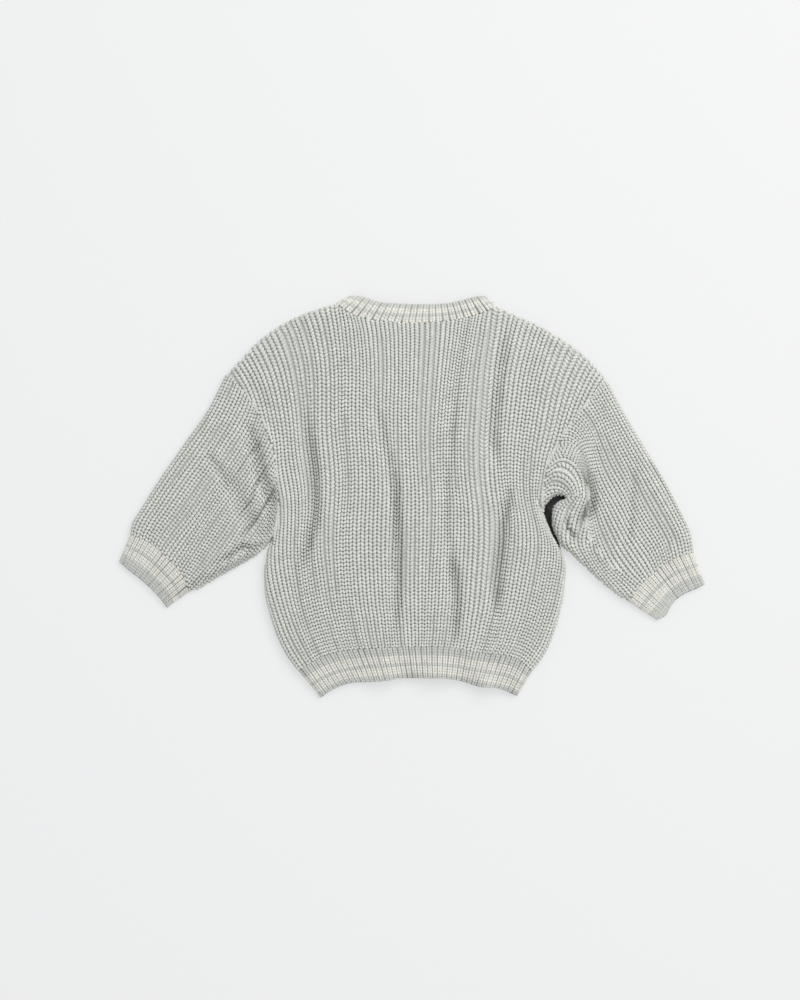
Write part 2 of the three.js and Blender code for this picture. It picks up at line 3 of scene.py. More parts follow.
import bpy
import numpy as np
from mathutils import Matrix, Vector


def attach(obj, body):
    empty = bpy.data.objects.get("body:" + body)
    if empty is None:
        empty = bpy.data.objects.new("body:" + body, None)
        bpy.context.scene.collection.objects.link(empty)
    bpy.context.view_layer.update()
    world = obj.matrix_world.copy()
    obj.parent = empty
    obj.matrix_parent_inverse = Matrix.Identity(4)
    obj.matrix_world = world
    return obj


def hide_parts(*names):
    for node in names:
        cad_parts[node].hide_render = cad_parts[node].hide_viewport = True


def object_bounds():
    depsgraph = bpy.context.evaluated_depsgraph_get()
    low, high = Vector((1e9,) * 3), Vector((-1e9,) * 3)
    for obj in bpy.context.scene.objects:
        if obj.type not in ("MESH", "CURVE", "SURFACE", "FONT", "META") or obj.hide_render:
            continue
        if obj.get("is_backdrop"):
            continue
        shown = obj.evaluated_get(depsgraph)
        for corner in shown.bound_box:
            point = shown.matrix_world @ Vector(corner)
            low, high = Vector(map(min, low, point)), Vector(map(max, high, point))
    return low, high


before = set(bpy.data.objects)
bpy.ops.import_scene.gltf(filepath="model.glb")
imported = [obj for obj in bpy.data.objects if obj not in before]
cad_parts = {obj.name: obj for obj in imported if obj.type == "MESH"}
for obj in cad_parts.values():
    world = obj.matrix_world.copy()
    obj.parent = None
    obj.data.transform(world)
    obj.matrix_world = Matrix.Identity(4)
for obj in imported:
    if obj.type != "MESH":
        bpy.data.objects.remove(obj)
cadLow, cadHigh = (np.array(corner) * 1000 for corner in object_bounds())   # millimetres from here on
print("frame loaded")

# A toddler's chunky rib pullover, lying front down with its back up.
# +X is the wearer's right, +Y points to the neck. Sizes are in millimetres until a mesh is made.
# A wale is an upright column of stitches, a course a row of them.
# On each piece u runs across the wales and v along them, both as shares from 0 to 1.

cloth = {
    "wall": 3.4,            # thickness of the knit without its ribs
    "seamGap": 0.3,
    "rim": 1.0,             # thickness left at the side and shoulder edges of a panel
    "rollRadius": 7.0,      # how far in from a folded edge the cloth starts to turn down
    "rollArc": 9.5,         # length of cloth in that turn
    "rollFade": 3.5,        # how quickly a side's turn ends at its underarm
    "fullness": 1.2,        # how far the upper layer stands off the lower one far from the middle
    "dome": 4.5,            # how much further in the middle of the body
    "domeReach": 240.0,
    "waveRise": 0.45,       # soft unevenness between the folds
    "waveSize": 17.0,
    "deepest": -1.7,        # limits of the relief on the upper layer
    "highest": 8.0,
    "slopeStep": 0.004,     # share of a piece over which the slope of its cloth is taken
}

layerTop = cloth["wall"]                        # top of the lower layer
upperBase = cloth["wall"] + cloth["seamGap"]
middle = cloth["wall"] + cloth["seamGap"] / 2   # level at which the layers meet in a fold
upperSkin = upperBase + cloth["wall"]

# Seams and edges of the pieces as they lie, seen from above.
outlines = {
    "hemSeam": [(-102, -157), (-90, -149), (-78, -142.5), (-58, -138), (-29, -136), (2, -135),
                (34, -135.5), (59, -140), (84, -142.5), (97, -147), (108, -157)],
    "hemEdge": [(-82, -181), (-70, -173), (-54, -167.5), (-37, -167), (-22, -165.5), (-11, -163.5),
                (11, -163.5), (32, -164), (47, -167), (61, -171), (77, -172.5), (95, -179.5)],
    "leftSide": [(-102, -157), (-112, -144), (-121, -126), (-128, -104), (-132, -84), (-132, -63),
                 (-129, -48), (-125, -37)],
    "rightSide": [(108, -157), (120, -141), (128, -122), (134, -102), (137, -82), (138, -63),
                  (134, -49), (126.5, -36), (121, -23), (117.5, -12)],
    "leftArmhole": [(-125, -37), (-121, -17), (-120, 0), (-121.5, 20), (-124, 42), (-130, 60),
                    (-139, 77), (-151, 94), (-167, 109.5)],
    "rightArmhole": [(117.5, -12), (117, -2), (118, 9), (119.5, 20), (123.5, 33), (130.5, 46), (139, 60),
                     (148, 72), (157, 83), (167, 95), (176, 104)],
    "leftShoulder": [(-167, 109.5), (-155, 122), (-141, 137), (-126, 149), (-110, 159), (-90, 167),
                     (-68, 174)],
    "rightShoulder": [(77, 171), (95, 162.5), (115, 154), (135, 142), (155, 127.5), (169, 113),
                      (176, 104)],
    "backNeck": [(-68, 174), (-56, 165), (-43, 160), (-20, 157), (7, 156), (34, 158), (56, 162.5),
                 (77, 171)],
    "backBandEdge": [(-55, 181), (-44, 180), (-29, 175.5), (-11, 174), (9, 173.5), (29, 174),
                     (45, 177), (56, 180), (66, 181)],
    "frontNeck": [(-68, 174), (-54, 150), (-26, 128), (5, 122), (36, 128), (64, 148), (77, 171)],
    "frontBandEdge": [(-55, 181), (-44, 161), (-22, 145), (5, 141), (32, 145), (55, 161), (66, 181)],
    "leftSleeveOuter": [(-167, 109.5), (-183, 78), (-204, 48), (-224, 19.5), (-242, -8.5),
                        (-251, -23), (-253, -34)],
    "leftSleeveInner": [(-125, -37), (-135, -49), (-147, -57), (-161, -65), (-177, -74),
                        (-188, -81), (-200, -86)],
    "leftCuffSeam": [(-253, -34), (-245, -37), (-235, -42), (-225, -50), (-217, -58), (-210, -65),
                     (-204, -74), (-200, -86)],
    "leftCuffEdge": [(-263, -59), (-253, -67.5), (-242, -76), (-233, -84.5), (-226, -92), (-220, -100)],
    "rightSleeveOuter": [(176, 104), (190.5, 76), (207.5, 47), (224, 19.5), (239, -8.5), (250, -31),
                         (253.5, -50.5)],
    "rightSleeveInner": [(117.5, -12), (124, -13), (126, -18), (127, -28), (132.5, -41),
                         (143, -51), (158, -65), (174, -79.5), (195, -95)],
    "openingTop": [(117.5, -12), (120, -7.6), (123.6, -3.2), (127.2, 0.1), (131, 1.6), (135, 1.2),
                   (139.5, -1.8)],
    "openingBelow": [(139.5, -1.8), (134.6, -3.4), (130.2, -6.2), (127.2, -10.4), (126, -18)],
    "aroundOpening": [(122, 30), (134, 34), (147, 30), (156, 17), (158, 2)],
    "aroundRoll": [(158, 2), (157, -14), (157, -30)],
    "rightCuffSeam": [(253.5, -50.5), (243, -53), (233, -57), (224, -63), (214, -71.5), (207, -78),
                      (201, -85), (195, -95)],
    "rightCuffEdge": [(263.5, -79), (256.5, -82.5), (248, -86), (241, -90), (236, -94), (232, -100),
                      (228, -107), (220.5, -111)],
}

# At the right underarm the front shows past the back, and the sleeve goes on below its opening.
outlines["rightSideBelow"] = [*outlines["rightSide"][:6], (135, -49), (133, -40), (129.5, -29),
                              (129, -18), (129.5, -9), (126, -4.5), (119.5, -3.5)]
outlines["rightArmholeBelow"] = [(119.5, -3.5), (118.5, 8), *outlines["rightArmhole"][3:]]
outlines["rightSleeveBelowOpening"] = outlines["rightSleeveInner"][2:]

# Folds of the upper layer: path, rise (below 0 for a trough), spread, and the light that a trough takes.
folds = [
    {"path": [(-97, 82), (-92, 50), (-88, 18), (-87.5, -18), (-95, -45), (-107, -75)],
     "rise": -10, "spread": 6.0, "shade": 0.20},
    {"path": [(-36, 104), (-27, 62), (-19, 27), (-14.5, -5), (-12.5, -60), (-15, -137)],
     "rise": -5.5, "spread": 4.4, "shade": 0.05},
    {"path": [(-18, 30), (-14.5, -5), (-12.5, -60), (-15, -137)], "rise": -5, "spread": 5, "shade": 0.18},
    {"path": [(40, 112), (36, 60), (31, 10), (33, -40), (39, -85), (37, -138)], "rise": -5, "spread": 4.6},
    {"path": [(35, -50), (40, -90), (37, -138)], "rise": -6, "spread": 5.0, "shade": 0.20},
    {"path": [(84, 152), (79, 110), (73, 60), (79, 22)], "rise": -8, "spread": 5.8, "shade": 0.14},
    {"path": [(88, 14), (83, -20), (77, -70), (76, -112)], "rise": -10, "spread": 5.6, "shade": 0.22},
    {"path": [(-150, 72), (-140, 42), (-136, 22), (-129, 5), (-123, -12)],
     "rise": -10, "spread": 6.0, "shade": 0.22},
    {"path": [(-168, 30), (-158, 4), (-149, -16), (-132, -34)], "rise": -5, "spread": 8, "shade": 0.08},
    {"path": [(-186, -66), (-163, -52), (-154, -45.5), (-142, -46), (-124, -38)],
     "rise": -7, "spread": 3.6, "shade": 0.20},
    {"path": [(-224, -93), (-195, -78), (-175, -69), (-152, -59), (-126, -41)],
     "rise": -5, "spread": 5, "shade": 0.18},
    {"path": [(-186, 42), (-170, 19), (-164, 6)], "rise": -4, "spread": 4, "shade": 0.06},
    {"path": [(-135, 51), (-148, 35), (-159, 17)], "rise": -3, "spread": 2.0, "shade": 0.38},
    {"path": [(-126, 31), (-138, 15), (-144, -1), (-158, -21)], "rise": -3.5, "spread": 2.0, "shade": 0.44},
    {"path": [(-121, 10), (-131, -6), (-141, -21), (-156, -39)], "rise": -3.5, "spread": 2.0, "shade": 0.48},
    {"path": [(-126, 10), (-126, -12), (-130, -28), (-140, -42)], "rise": -5, "spread": 6, "shade": 0.20},
    {"path": [(-120, -34), (-150, -57), (-176, -72), (-201, -86), (-214, -92)],
     "rise": -1, "spread": 4.5, "shade": 0.24},
    {"path": [(150, 48), (154, 24), (160, 8), (162, -6), (154, -18), (142, -27)],
     "rise": -7.5, "spread": 6.0, "shade": 0.50},
    {"path": [(141, -16), (140, -27), (148, -39)], "rise": -5, "spread": 2.6, "shade": 0.35},
    {"path": [(201, 28), (197, -8), (194, -54)], "rise": -4, "spread": 4},
    {"path": [(163, 99), (143, 72), (127, 47), (119, 22)], "rise": -2.6, "spread": 4},
    {"path": [(92, 148), (118, 138), (146, 118)], "rise": -2, "spread": 8},
    {"path": [(-150, 112), (-138, 95), (-128, 76)], "rise": -2.6, "spread": 5},
    {"path": [(-108, 150), (-88, 142), (-70, 128)], "rise": -2, "spread": 11},
    {"path": [(-76, 100), (-71, 114), (-62, 120), (-54, 116)], "rise": -1.8, "spread": 4},
    {"path": [(121, 15), (131, 20), (143, 14), (149, 2), (146, -12)], "rise": 5.5, "spread": 6},
    {"path": [(133, -14), (132, -28), (140, -42), (160, -60)], "rise": 2.4, "spread": 6},
    {"path": [(158, 104), (135, 80), (110, 46)], "rise": 1.8, "spread": 8},
    {"path": [(-73, 40), (-71, -20), (-80, -92)], "rise": 1.4, "spread": 10},
    {"path": [(9, 40), (9, -60), (12, -130)], "rise": 1.4, "spread": 10},
    {"path": [(57, 60), (58, -40), (59, -126)], "rise": 1.6, "spread": 9},
    {"path": [(104, 34), (107, -50), (102, -122)], "rise": 1.5, "spread": 10},
    {"path": [(-112, 18), (-117, -70), (-106, -122)], "rise": 1.2, "spread": 9},
    {"path": [(-190, 56), (-202, 14), (-218, -22)], "rise": 1.6, "spread": 14},
    {"path": [(186, 66), (214, 8), (224, -34)], "rise": 1.6, "spread": 16},
]


def catmullRom(points, count):          # a smooth curve through the points
    points = np.array(points, float)
    place = np.linspace(0, len(points) - 1, count)
    k = np.minimum(place.astype(int), len(points) - 2)
    w = (place - k)[:, None]
    before, a, b, after = (points[np.clip(k + step, 0, len(points) - 1)] for step in (-1, 0, 1, 2))
    slopeA, slopeB = (b - before) / 2, (after - a) / 2
    third, second = 2 * a - 2 * b + slopeA + slopeB, 3 * (b - a)
    return (third * w + second - 2 * slopeA - slopeB) * w * w + slopeA * w + a


class Line:                     # a smooth line, read by its share of the length
    def __init__(self, points, count=300):
        self.points = catmullRom(points, count)
        self.reached = np.concatenate([[0], np.cumsum(np.hypot(*np.diff(self.points, axis=0).T))])
        self.length = self.reached[-1]

    def at(self, share):
        target = np.clip(share, 0, 1) * self.length
        return np.stack([np.interp(target, self.reached, self.points[:, axis]) for axis in (0, 1)], -1)


class Reversed:                 # a line read from its other end
    def __init__(self, line):
        self.line = line

    def at(self, share):
        return self.line.at(1 - np.asarray(share, float))


class Joined:                   # lines end to end, each with its share of the whole
    def __init__(self, lineParts, shares):
        self.parts, self.ends = lineParts, np.cumsum([0] + list(shares)) / sum(shares)

    def at(self, share):
        share = np.clip(np.asarray(share, float), 0, 1)
        found = np.zeros(share.shape + (2,))
        for k, part in enumerate(self.parts):
            here = (share >= self.ends[k]) & (share <= self.ends[k + 1])
            found[here] = part.at((share[here] - self.ends[k]) / (self.ends[k + 1] - self.ends[k]))
        return found


lines = {name: Line(points) for name, points in outlines.items()}
everyPoint = np.concatenate([line.points for line in lines.values()])
planShift = (cadLow[:2] + cadHigh[:2] - everyPoint.min(0) - everyPoint.max(0)) / 2
kink = {"reach": 0.15, "growth": 0.4, "steps": (-1, -0.67, -0.33, 0, 0.33, 0.67, 1)}


def easedLine(line, share, away):   # kinks in a line even out as one goes away from it
    reach = np.minimum(kink["reach"] * away ** kink["growth"], np.minimum(share, 1 - share))
    return sum(line.at(share + step * reach) for step in kink["steps"]) / len(kink["steps"])


def plainLine(line, share, away):
    return line.at(share)


def patchBetween(start, end, first, last, kinked=True, lastPull=1.0):
    # a patch of the plan between four lines; above 1, lastPull keeps the last one's bend near it
    ease = easedLine if kinked else plainLine
    corners = [start.at(0.0), start.at(1.0), end.at(0.0), end.at(1.0)]

    def place(s, t):
        s1, t1 = s[..., None], t[..., None]
        pull = s1 ** lastPull
        return ((1 - t1) * start.at(s) + t1 * ease(end, s, 1 - t)
                + (1 - s1) * (ease(first, t, s) - (1 - t1) * corners[0] - t1 * corners[2])
                + pull * (ease(last, t, 1 - s) - (1 - t1) * corners[1] - t1 * corners[3]))
    return place


def smoothStep(w):
    w = np.clip(w, 0, 1)
    return w * w * (3 - 2 * w)


bank = {"share": 0.30, "spread": 7}     # cloth pushed up beside a trough
foldEnd = 0.25                          # share of a fold over which it fades at each end


def pathRelief(fold, x, y):             # the height of one fold at a place
    points = fold["line"]
    nearest, strength = np.full(x.shape, 1e9), np.zeros(x.shape)
    for k in range(len(points) - 1):
        step = points[k + 1] - points[k]
        w = np.clip(((x - points[k, 0]) * step[0] + (y - points[k, 1]) * step[1]) / (step @ step), 0, 1)
        away = (x - points[k, 0] - w * step[0]) ** 2 + (y - points[k, 1] - w * step[1]) ** 2
        share = (k + w) / (len(points) - 1)
        fade = smoothStep(np.minimum(share, 1 - share) / foldEnd)
        closer = away < nearest
        nearest = np.where(closer, away, nearest)
        near = away / fold["spread"] ** 2
        banks = bank["share"] * np.exp(-near / bank["spread"]) if fold["rise"] < 0 else 0
        strength = np.where(closer, fade * (np.exp(-near) - banks), strength)
    return fold["rise"] * strength


for fold in folds:
    fold["line"] = catmullRom(fold["path"], 4 * len(fold["path"]))

waveCells = 64
waveGrid = np.random.default_rng(11).uniform(-1, 1, (waveCells, waveCells))


def softWaves(x, y, size):      # gentle unevenness, as large as the size given
    gx, gy = x / size + waveCells / 2, y / size + waveCells / 2
    i, j = np.floor(gx).astype(int), np.floor(gy).astype(int)
    u, v = smoothStep(gx - i), smoothStep(gy - j)

    def at(a, b):
        return waveGrid[a % waveCells, b % waveCells]
    return ((at(i, j) * (1 - u) + at(i + 1, j) * u) * (1 - v)
            + (at(i, j + 1) * (1 - u) + at(i + 1, j + 1) * u) * v)


darkest = 0.9                   # a trough never takes more of the light than this


def foldShade(x, y, share):     # 1 in the open, less in a trough that light hardly reaches
    left = np.ones(x.shape)
    for fold in folds:
        if "shade" in fold:
            deep = min(fold["shade"] * share, darkest)
            left = left * (1 - deep * np.clip(pathRelief(fold, x, y) / fold["rise"], 0, 1))
    return left


hollow = {"path": [(138, -1), (130, -1.5), (122, -8), (123, -20), (128, -32), (133, -42)], "places": 40,
          "reach": 9.5, "shade": 0.985}


def insideShade(points):        # the inside of the lower layer is in deep shade under the opening
    nearest = np.full(points.shape[:-1], 1e9)
    for place in catmullRom(hollow["path"], hollow["places"]):
        nearest = np.minimum(nearest, np.hypot(points[..., 0] - place[0], points[..., 1] - place[1]))
    return 1 - hollow["shade"] * np.exp(-(nearest / hollow["reach"]) ** 4)


def looseness(x, y):            # how far the upper layer stands off the lower one between the folds
    return cloth["fullness"] + cloth["dome"] * np.maximum(0, 1 - (x * x + y * y) / cloth["domeReach"] ** 2)


def reliefAt(x, y):
    total = looseness(x, y)
    for fold in folds:
        total += pathRelief(fold, x, y)
    total += cloth["waveRise"] * softWaves(x, y, cloth["waveSize"])
    mid, half = (cloth["highest"] + cloth["deepest"]) / 2, (cloth["highest"] - cloth["deepest"]) / 2
    return mid + half * np.tanh((total - mid) / half)


def rollAt(distance):           # 0 on a folded edge, 1 where the cloth lies level again
    left = 1 - np.clip(distance / cloth["rollRadius"], 0, 1)
    return np.sqrt(1 - left * left)


def turnedShare(u, width, leftTurn, rightTurn):
    # cloth share to plan share, where the cloth turns down at one or both edges
    radius, arc = cloth["rollRadius"], cloth["rollArc"]
    total = width + (arc - radius) * (leftTurn + rightTurn)
    a = u * total

    def turned(a, turn):
        arcHere = radius + (arc - radius) * turn
        curved = radius * (1 - np.cos(np.clip(a / arcHere, 0, 1) * math.pi / 2))
        curved = curved * turn + a * (1 - turn)
        return np.where(a < arcHere, curved, radius + a - arcHere)
    fromLeft, fromRight = turned(a, leftTurn), width - turned(total - a, rightTurn)
    return np.where(u < 0.5, fromLeft, fromRight) / width


body = {
    "wales": 44,
    "courses": 92,
    "shoulderWales": 12.5,      # of the back's wales, those that end on each shoulder
    "height": 310.0,
}
leftLength = lines["leftSide"].length + lines["leftArmhole"].length
rightLength = lines["rightSide"].length + lines["rightArmhole"].length
leftUnderarm = lines["leftSide"].length / leftLength
rightUnderarm = lines["rightSide"].length / rightLength
neckStart = body["shoulderWales"] / body["wales"]


def planWidth(place, t):        # from one edge to the other, straight across the plan
    edges = place(np.zeros_like(t), t), place(np.ones_like(t), t)
    return np.hypot(*(edges[1] - edges[0]).T).T


class BodyShape:                # the back's or the front's outline and its turned edges
    def __init__(self, neck, right, rightTop):
        top = Joined([lines["leftShoulder"], lines[neck], lines["rightShoulder"]],
                     [neckStart, 1 - 2 * neckStart, neckStart])
        left = Joined([lines["leftSide"], lines["leftArmhole"]], [leftUnderarm, 1 - leftUnderarm])
        rightLine = Joined([lines[right], lines[rightTop]], [rightUnderarm, 1 - rightUnderarm])
        self.place = patchBetween(lines["hemSeam"], top, left, rightLine)

    def planShare(self, u, v):
        leftTurn = 1 - smoothStep((v - leftUnderarm) * cloth["rollFade"] + 0.5)
        rightTurn = 1 - smoothStep((v - rightUnderarm) * cloth["rollFade"] + 0.5)
        return turnedShare(u, planWidth(self.place, v), leftTurn, rightTurn)

    def roll(self, s, t):
        width = planWidth(self.place, t)
        insideNeck = np.maximum(0, np.minimum(s - neckStart, 1 - neckStart - s)) * width
        fromTop = np.hypot((1 - t) * body["height"], insideNeck)
        fromLeft = np.hypot(s * width, np.maximum(0, t - leftUnderarm) * leftLength)
        fromRight = np.hypot((1 - s) * width, np.maximum(0, t - rightUnderarm) * rightLength)
        return rollAt(fromTop) * rollAt(fromLeft) * rollAt(fromRight)


class TubeShape:                # a sleeve or band, folded flat along its two edges
    def __init__(self, place):
        self.place = place

    def planShare(self, u, v):
        ones = np.ones_like(u)
        return turnedShare(u, planWidth(self.place, v), ones, ones)

    def roll(self, s, t):
        return rollAt(np.minimum(s, 1 - s) * planWidth(self.place, t))


def sleeveShape(side):
    return TubeShape(patchBetween(Reversed(lines[side + "Armhole"]), lines[side + "CuffSeam"],
                                  lines[side + "SleeveOuter"], lines[side + "SleeveInner"]))


class Stretch:                  # the part of a line between two shares of it
    def __init__(self, line, low, high):
        self.line, self.low, self.high = line, low, high

    def at(self, share):
        return self.line.at(self.low + np.asarray(share, float) * (self.high - self.low))


opening = {
    "split": 0.72,              # share of the sleeve's width that stays clear of the opening
    "lips": [0.16, 0.14, 0.70],             # shares of the sleeve's length: top lip, lower lip, the rest
    "onward": [(165, -48), (184, -66)],     # from the roll beside the opening on to the cuff
    "outerPull": 2.4,           # above 1 the outer wales stay clear of the opening's curve
}


def openedSleevePlace():
    # the right sleeve's upper layer, drawn up and round the opening at its underarm
    split, lips = opening["split"], opening["lips"]
    armhole, cuff = Reversed(lines["rightArmhole"]), lines["rightCuffSeam"]
    start, end = armhole.at(split), cuff.at(split)
    inner = Joined([lines["openingTop"], lines["openingBelow"], lines["rightSleeveBelowOpening"]], lips)
    onward = Line([outlines["aroundRoll"][-1], *opening["onward"], tuple(end)])
    guide = Joined([Line([tuple(start), *outlines["aroundOpening"][1:]]), lines["aroundRoll"], onward], lips)
    outerPart = patchBetween(Stretch(armhole, 0, split), Stretch(cuff, 0, split),
                             lines["rightSleeveOuter"], guide, kinked=False, lastPull=opening["outerPull"])
    innerPart = patchBetween(Stretch(armhole, split, 1), Stretch(cuff, split, 1), guide, inner, kinked=False)

    def place(s, t):
        outer = outerPart(np.clip(s / split, 0, 1), t)
        nearer = innerPart(np.clip((s - split) / (1 - split), 0, 1), t)
        return np.where((s < split)[..., None], outer, nearer)
    return place


def bandShape(seam, edge):
    sides = [Line([lines[seam].at(share), lines[edge].at(share)], 2) for share in (0.0, 1.0)]
    return TubeShape(patchBetween(lines[seam], lines[edge], *sides))


def averaged(values, reach, axis):      # running average over a reach to each side
    ends = [(0, 0), (0, 0)]
    ends[axis] = (reach, reach)
    summed = np.cumsum(np.pad(values, ends, mode="edge"), axis)
    summed = np.concatenate([np.zeros_like(np.take(summed, [0], axis)), summed], axis)
    count = values.shape[axis]
    high = np.take(summed, np.arange(2 * reach + 1, 2 * reach + 1 + count), axis)
    low = np.take(summed, np.arange(0, count), axis)
    return (high - low) / (2 * reach + 1)


bunching = {
    "rows": 90, "columnsPerWale": 5,        # of the grid that the ease is worked out on
    "fineShare": 0.5, "fineAcross": 2.2, "fineAlong": 1.7,      # a second, finer unevenness
    "evenedAcross": 5, "evenedRows": 9,     # bunching evens out over a fifth of the piece
    "loosest": -0.4, "tightest": 0.45,
    "ribPower": 2.4, "ribLow": 0.3, "ribHigh": 2.4,     # how much higher ribs stand where wales are close
}


def easeCloth(piece, seed):
    # where the cloth is bunched its wales draw together and its ribs stand higher
    ease = piece["ease"]
    rows, columns = bunching["rows"], piece["wales"] * bunching["columnsPerWale"]
    v, u = np.meshgrid(np.linspace(0, 1, rows), np.linspace(0, 1, columns), indexing="ij")
    across, along = u * piece["wales"] / ease["wales"], v * ease["along"]
    fine = softWaves(across * bunching["fineAcross"] + seed, along * bunching["fineAlong"], 1.0)
    bunched = ease["uneven"] * (softWaves(across + seed, along, 1.0) + bunching["fineShare"] * fine)
    piece["easeU"] = u
    if piece["layer"] == "upper":
        plan = piece["shape"].place(piece["shape"].planShare(np.clip(shownAt(piece, u, v), 0, 1), v), v)
        x, y = plan[..., 0], plan[..., 1]
        bunched = bunched + ease.get("inTroughs", 0) * (looseness(x, y) - reliefAt(x, y))
    reach = columns // bunching["evenedAcross"]
    bunched = bunched - averaged(averaged(bunched, reach, 1), reach, 1)
    bunched = averaged(bunched, bunching["evenedRows"], 0)
    width = np.exp(-np.clip(bunched, bunching["loosest"], bunching["tightest"])) * (
        1 + ease.get("edges", 0) * np.cos(2 * math.pi * u) + ease.get("tilt", 0) * (2 * u - 1))
    reached = np.concatenate([np.zeros((rows, 1)), np.cumsum((width[:, 1:] + width[:, :-1]) / 2, 1)], 1)
    piece["easeU"] = reached / reached[:, -1:]
    piece["easeRib"] = np.clip((1 / width) ** bunching["ribPower"], bunching["ribLow"], bunching["ribHigh"])


def shownAt(piece, u, v):
    # where a place on the cloth shows: below 0 or above 1 its wale has run round that edge
    share = readGrid(piece["easeU"], u, v)
    if "runOff" not in piece:
        return share
    low, high = (np.interp(v, np.linspace(0, 1, len(shares)), shares) for shares in piece["runOff"])
    return (share - low) / (1 - low - high)


def readGrid(grid, u, v):       # a value of the ease grid between its points
    rows, columns = grid.shape
    x, y = np.clip(u, 0, 1) * (columns - 1), np.clip(v, 0, 1) * (rows - 1)
    i, j = np.minimum(x.astype(int), columns - 2), np.minimum(y.astype(int), rows - 2)
    a, b = x - i, y - j
    return ((grid[j, i] * (1 - a) + grid[j, i + 1] * a) * (1 - b)
            + (grid[j + 1, i] * (1 - a) + grid[j + 1, i + 1] * a) * b)


bandEdge = {
    "settle": 2.0,          # how far the free edge of a band sinks towards its lower layer
    "drop": 2.2,            # how far the very edge turns down besides
    "dropFade": 1.6,        # how quickly that turn ends
}
hemWaves = {                # where the hem's free edge stands up
    "rise": 8.5,
    "places": [{"x": -22, "reach": 11}, {"x": 24, "reach": 16}, {"x": 67, "reach": 11}],
}


def skinPoint(piece, u, v):
    # a point in the valleys of the outer face
    shape = piece["shape"]
    s = shape.planShare(np.clip(shownAt(piece, u, v), 0, 1), v)
    plan, roll = shape.place(s, v), shape.roll(s, v)
    if piece["layer"] == "upper":
        seamLevel = piece.get("edgeLevel", middle)
        z = seamLevel + (upperSkin + reliefAt(plan[..., 0], plan[..., 1]) - seamLevel) * roll
    else:
        z = piece.get("edgeLevel", middle) * (1 - roll)
    if "settle" in piece:
        turned = 1 - rollAt((1 - v) * cloth["rollRadius"] * bandEdge["dropFade"])
        z = z - (piece["settle"] * v * v + bandEdge["drop"] * turned) * roll
    if "waves" in piece:
        z = z + piece["waves"]["rise"] * v * v * sum(
            np.exp(-((plan[..., 0] - wave["x"]) / wave["reach"]) ** 2) for wave in piece["waves"]["places"])
    return np.concatenate([plan, z[..., None]], -1)


def clothPoint(piece, u, v, height):
    # the same, moved out by a height, with the direction that faces out
    reach = cloth["slopeStep"]
    alongU = skinPoint(piece, np.minimum(u + reach, 1), v) - skinPoint(piece, np.maximum(u - reach, 0), v)
    alongV = skinPoint(piece, u, np.minimum(v + reach, 1)) - skinPoint(piece, u, np.maximum(v - reach, 0))
    outward = np.cross(alongU, alongV) * piece["facing"]
    outward /= np.maximum(np.linalg.norm(outward, axis=-1, keepdims=True), 1e-9)
    return skinPoint(piece, u, v) + outward * np.asarray(height)[..., None], outward


def ribProfile(piece, u):       # 1 on the crest of a wale, 0 in the valley
    return 0.5 - 0.5 * np.cos(2 * math.pi * u * piece["wales"])


def inMetres(points):           # and moved to where the cut pieces lie
    shifted = points + np.array([planShift[0], planShift[1], 0])
    return shifted.reshape(-1, 3) / 1000


def stripeAt(piece, v):         # 1 in a cream stripe, 0 in grey-green
    inside = np.zeros_like(v)
    for low, high in piece.get("stripes", []):
        inside = np.maximum(inside, ((v >= low) & (v < high)).astype(float))
    return inside


def fillInputs(node, inputs):   # each is a value, or another node's output to link
    for key, value in inputs.items():
        if isinstance(value, bpy.types.NodeSocket):
            node.id_data.links.new(value, node.inputs[key])
        else:
            node.inputs[key].default_value = value


def addNode(tree, kind, inputs=None, **settings):
    made = tree.nodes.new(kind)
    for key, value in settings.items():
        setattr(made, key, value)
    fillInputs(made, inputs or {})
    return made


def addSockets(tree, direction, kind, names):
    for name in names:
        tree.interface.new_socket(name, in_out=direction, socket_type="NodeSocket" + kind)


yarn = {
    "grey": (0.694, 0.706, 0.659),
    "cream": (0.782, 0.775, 0.710),
    "bandGrey": 0.89,           # the bands' grey-green stripes against the panels
    "deep": 0.90,               # painted shade: the ground between the stitches against the stitches
    "roughness": 0.92, "shine": 0.25, "sheen": 0.25, "sheenRoughness": 0.6,
    "bump": 0.35, "bumpDepth": 0.0004,
    "twist": 5.0, "twistWander": 1.5,       # the plies along a leg
    "fuzz": 900.0, "fuzzRoughness": 0.65,   # the fibres round them
    "plies": 0.55,              # height of the plies against that of the fibres
    "darkFibre": 0.93, "brightFibre": 1.05,
}


def yarnFibreGroup():
    group = bpy.data.node_groups.new("yarnFibre", "ShaderNodeTree")
    addSockets(group, "INPUT", "Float", ("Twist Scale", "Fuzz Scale"))
    addSockets(group, "OUTPUT", "Float", ("Shade", "Height"))
    into = addNode(group, "NodeGroupInput").outputs
    plyMap = addNode(group, "ShaderNodeUVMap", uv_map="plyMap").outputs["UV"]
    wave = addNode(group, "ShaderNodeTexWave", {
        "Vector": plyMap, "Scale": into["Twist Scale"], "Distortion": yarn["twistWander"], "Detail": 1.0,
    }, wave_type="BANDS", bands_direction="DIAGONAL")
    fuzz = addNode(group, "ShaderNodeTexNoise", {
        "Vector": addNode(group, "ShaderNodeTexCoord").outputs["Object"], "Scale": into["Fuzz Scale"],
        "Detail": 3.0, "Roughness": yarn["fuzzRoughness"]}).outputs["Fac"]
    height = addNode(group, "ShaderNodeMath", {0: wave.outputs["Fac"], 1: yarn["plies"], 2: fuzz},
                     operation="MULTIPLY_ADD")
    shade = addNode(group, "ShaderNodeMapRange", {
        "Value": fuzz, "From Min": 0.3, "From Max": 0.75,
        "To Min": yarn["darkFibre"], "To Max": yarn["brightFibre"]})
    addNode(group, "NodeGroupOutput", {"Height": height.outputs["Value"], "Shade": shade.outputs["Result"]})
    return group


fibreGroup = yarnFibreGroup()


